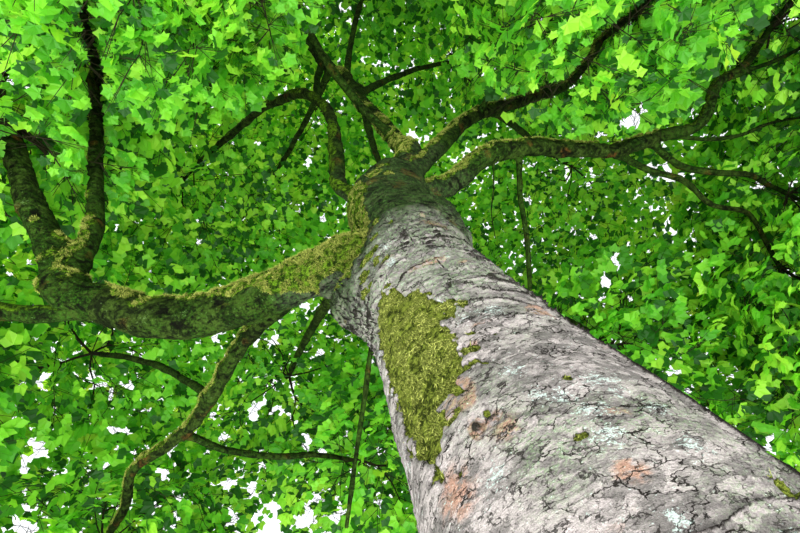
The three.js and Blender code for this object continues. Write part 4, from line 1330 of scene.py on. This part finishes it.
SEEN_LIMBS = NEAR_LIMBS + [
    "right_upper_limb", "right_middle_limb", "right_lower_limb", "left_outer_limb", "low_left_spur",
    "right_side_branch", "right_upper_end", "right_level_branch", "right_middle_end", "right_lower_end",
    "upright_end"]


MARKS_WITHIN = {"across": (-60, 860), "down": (-60, 600)}
NEAREST_MARK = 0.3
LEAF_HALF = 0.35


def clear_of_view(points, sizes):
    """False where a leaf would hide the trunk or a main bough from the camera."""
    across, down, depth = pixels(points)
    rows = []
    for name in SEEN_LIMBS:
        rows.append(np.column_stack([limbs[name]["line"][::2], limbs[name]["radii"][::2]]))
    up = np.arange(1.8, 7.0, 0.1)
    rows.append(np.column_stack([trunk_centre(up), up, trunk_radius(up, np.full(len(up), 180.0))]))
    marks = np.concatenate(rows)
    mark_x, mark_y, mark_depth = pixels(marks[:, :3])
    mark_radius = FOCAL_PIXELS * marks[:, 3] / np.maximum(mark_depth, NEAREST_MARK)
    (left, right), (top, bottom) = MARKS_WITHIN["across"], MARKS_WITHIN["down"]
    seen = (mark_depth > NEAREST_MARK) & (mark_x > left) & (mark_x < right)
    seen &= (mark_y > top) & (mark_y < bottom)
    clear = np.ones(len(points), bool)
    for x, y, far, radius in zip(mark_x[seen], mark_y[seen], mark_depth[seen], mark_radius[seen]):
        reach = radius + LEAF_HALF * FOCAL_PIXELS * sizes / np.maximum(depth, NEAREST_MARK)
        hides = (depth < far) & (depth > 0) & (np.abs(across - x) < reach) & (np.abs(down - y) < reach)
        clear &= ~hides
    return clear


# Where the photo shows the sky between the leaves: a place in pixels, and how far round it
SKY_GAPS = [
    ((22, 525), 36), ((30, 458), 20), ((80, 470), 18), ((165, 520), 34), ((172, 462), 24),
    ((225, 480), 18), ((275, 515), 38), ((325, 510), 28), ((262, 405), 26), ((272, 340), 18),
    ((310, 440), 18), ((345, 430), 14), ((788, 440), 24), ((640, 120), 22), ((612, 268), 20),
    ((665, 175), 14), ((765, 180), 16), ((780, 70), 16), ((730, 300), 14), ((120, 395), 12)]


def open_to_sky(points):
    """True for leaves that would close the gaps that the photo shows."""
    across, down, depth = pixels(points)
    share = np.zeros(len(points))
    for (x, y), size in SKY_GAPS:
        share = np.maximum(share, np.exp(-((across - x) ** 2 + (down - y) ** 2) / size ** 2))
    clumps = noise(np.stack([across, down, 0 * across], -1), 11, 421, 2)
    return (depth > 0) & (clumps > 0.62 - 0.62 * share)


twig_rows, shoot_rows, leaf_rows = [], [], []
for index, mass in enumerate(masses):
    draw = np.random.default_rng(100 + index)
    ends = twig_ends(index, draw)
    points, origin, carries = grow_twigs(mass, ends)
    thickness = mass["limb"]["thick"][1] / 2 * np.sqrt(carries / carries[1])
    thickness = np.maximum(thickness, FINEST_TWIG)
    onward = unit(points - points[origin])
    onward[0] = onward[1] = mass["way"]
    starts, stops = points[origin[1:]], points[1:]
    length = np.linalg.norm(stops - starts, axis=1, keepdims=True)
    middles = (starts + stops) / 2 + TWIG_BOW * length * onward[origin[1:]]
    onward[1:] = unit(stops - middles)
    root = np.minimum(thickness[origin[1:]], thickness[1:] * 1.35)
    twig_rows.append((starts, middles, stops, root, thickness[1:]))
    close = np.linalg.norm(points - EYE, axis=1) < NEAR_SPRAYS["within"]
    close[:2] = False
    far = ~close
    far[:2] = False
    for part in (far, close, close):
        leaf_share = 1.0 if part is far else NEAR_SPRAYS["leaf_share"]
        shoots, leaves = grow_shoots(points[part], onward[part], draw, leaf_share)
        shoot_rows += shoots
        leaf_rows.append(leaves[inside_mass(index, leaf_middles(leaves), -LEAF_OVERHANG)])

starts, middles, stops, root, thin = (np.concatenate([row[k] for row in twig_rows]) for k in range(5))
shoot_starts, shoot_tips = (np.concatenate([row[k] for row in shoot_rows]) for k in range(2))
twig_levels = {
    "twigs": [(starts, root), (middles, (root + thin) / 2), (stops, thin)],
    "shoots": [(shoot_starts, np.full(len(shoot_starts), SHOOT_THICK[0])),
               (shoot_tips, np.full(len(shoot_tips), SHOOT_THICK[1]))],
}
for name, levels in twig_levels.items():
    points, faces = tubes(levels, TWIG_FACES)
    piece = make_mesh(name, points, [faces], [twig_bark])
    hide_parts(*[mass["name"] for mass in masses])

leaves = np.concatenate(leaf_rows)
middle = leaf_middles(leaves)
wanted = clear_of_view(middle, leaves[:, SIZE_AT]) & ~open_to_sky(middle)
leaves = leaves[clear_of_limbs(middle, LIMB_CLEARANCE) & wanted]
spray_tone = np.random.default_rng(7).random(SPRAYS)
own_tone = np.random.default_rng(8).random(len(leaves))
tone = spray_tone[leaves[:, SPRAY_AT].astype(int)] * SPRAY_SHARE + (1 - SPRAY_SHARE) * own_tone
tone = np.clip(((tone - 0.1) / 0.8 * len(LEAF_TONES)).astype(int), 0, len(LEAF_TONES) - 1)


def leaf_mesh(leaves, outline, droop, with_stalk):
    """Points and triangles of leaves in one outline."""
    base, blade, tilt, foot = (leaves[:, 3 * k:3 * k + 3] for k in range(4))
    size = leaves[:, SIZE_AT, None, None]
    side = unit(np.cross(blade, tilt))
    normal = np.cross(side, blade)
    shape = outline[None, :, :1] * side[:, None] + outline[None, :, 1:] * blade[:, None]
    points = base[:, None] + size * (shape + droop[None, :, None] * normal[:, None])
    count = len(outline)
    triangles = [(0, k, k + 1) for k in range(1, count - 1)]
    if with_stalk:
        notch, half = points[:, :1], side[:, None] * PETIOLE_WIDTH / 2
        points = np.concatenate([points, foot[:, None], notch - half, notch + half], 1)
        triangles.append((count, count + 1, count + 2))
    faces = np.array(triangles)[None] + (np.arange(len(leaves)) * points.shape[1])[:, None, None]
    return points.reshape(-1, 3), faces.reshape(-1, 3)


LEAF_PIECE_LIMIT = 190000
away = np.linalg.norm(leaves[:, :3] - EYE, axis=1)
leaf_forms = [
    (away < FULL_LEAF_WITHIN, FULL_LEAF, FULL_DROOP),
    ((away >= FULL_LEAF_WITHIN) & (away < PLAIN_LEAF_WITHIN), PLAIN_LEAF, PLAIN_DROOP),
    (away >= PLAIN_LEAF_WITHIN, FAR_LEAF, FAR_DROOP),
]
for number, material in enumerate(leaf_materials):
    parts = []
    for chosen, outline, droop in leaf_forms:
        points, faces = leaf_mesh(leaves[chosen & (tone == number)], outline, droop, outline is FULL_LEAF)
        for part in np.array_split(np.arange(len(faces)), math.ceil(len(faces) / LEAF_PIECE_LIMIT)):
            first, last = faces[part[0]].min(), faces[part[-1]].max() + 1
            parts.append((points[first:last], faces[part] - first))
    for order, (points, faces) in enumerate(parts):
        piece = make_mesh(f"leaves_{number + 1}_{order + 1}", points, [faces], [material], smooth=False)
        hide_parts(*[mass["name"] for mass in masses])


# Floor, sky and light
FLOOR_SIDE = 240
floor_material = plain_material("pale_floor", (0.42, 0.415, 0.405), 0.9, 3.0, 0.97)
bpy.ops.mesh.primitive_plane_add(size=FLOOR_SIDE, location=(0, 0, 0))
floor = bpy.context.object
floor.name = "floor"
floor.data.materials.append(floor_material)

SKY_STRENGTH = 1.35
SUN = {"energy": 3.2, "angle": 16, "turn": (40, -25, 0)}
FILL = {"place": (-1.0, -2.0, 0.05), "aim": (-1.0, -2.0, 9.0), "size": (15, 15), "energy": 4200}
world = bpy.data.worlds.new("sky")
world.use_nodes = True
world.node_tree.nodes["Background"].inputs["Color"].default_value = (0.95, 0.98, 1.0, 1)
world.node_tree.nodes["Background"].inputs["Strength"].default_value = SKY_STRENGTH
bpy.context.scene.world = world


def add_light(name, kind, energy, turn, place):
    data = bpy.data.lights.new(name, kind)
    data.energy = energy
    light = bpy.data.objects.new(name, data)
    light.rotation_euler = turn
    light.location = place
    bpy.context.collection.objects.link(light)
    return light


sun = add_light("soft_sun", "SUN", SUN["energy"], [math.radians(angle) for angle in SUN["turn"]], (0, 0, 0))
sun.data.angle = math.radians(SUN["angle"])
aim = Vector(FILL["aim"]) - Vector(FILL["place"])
fill = add_light("soft_fill", "AREA", FILL["energy"], aim.to_track_quat("-Z", "Y").to_euler(), FILL["place"])
fill.data.shape = "RECTANGLE"
fill.data.size, fill.data.size_y = FILL["size"]
fill.visible_camera = False
bpy.context.scene.view_settings.view_transform = "Standard"
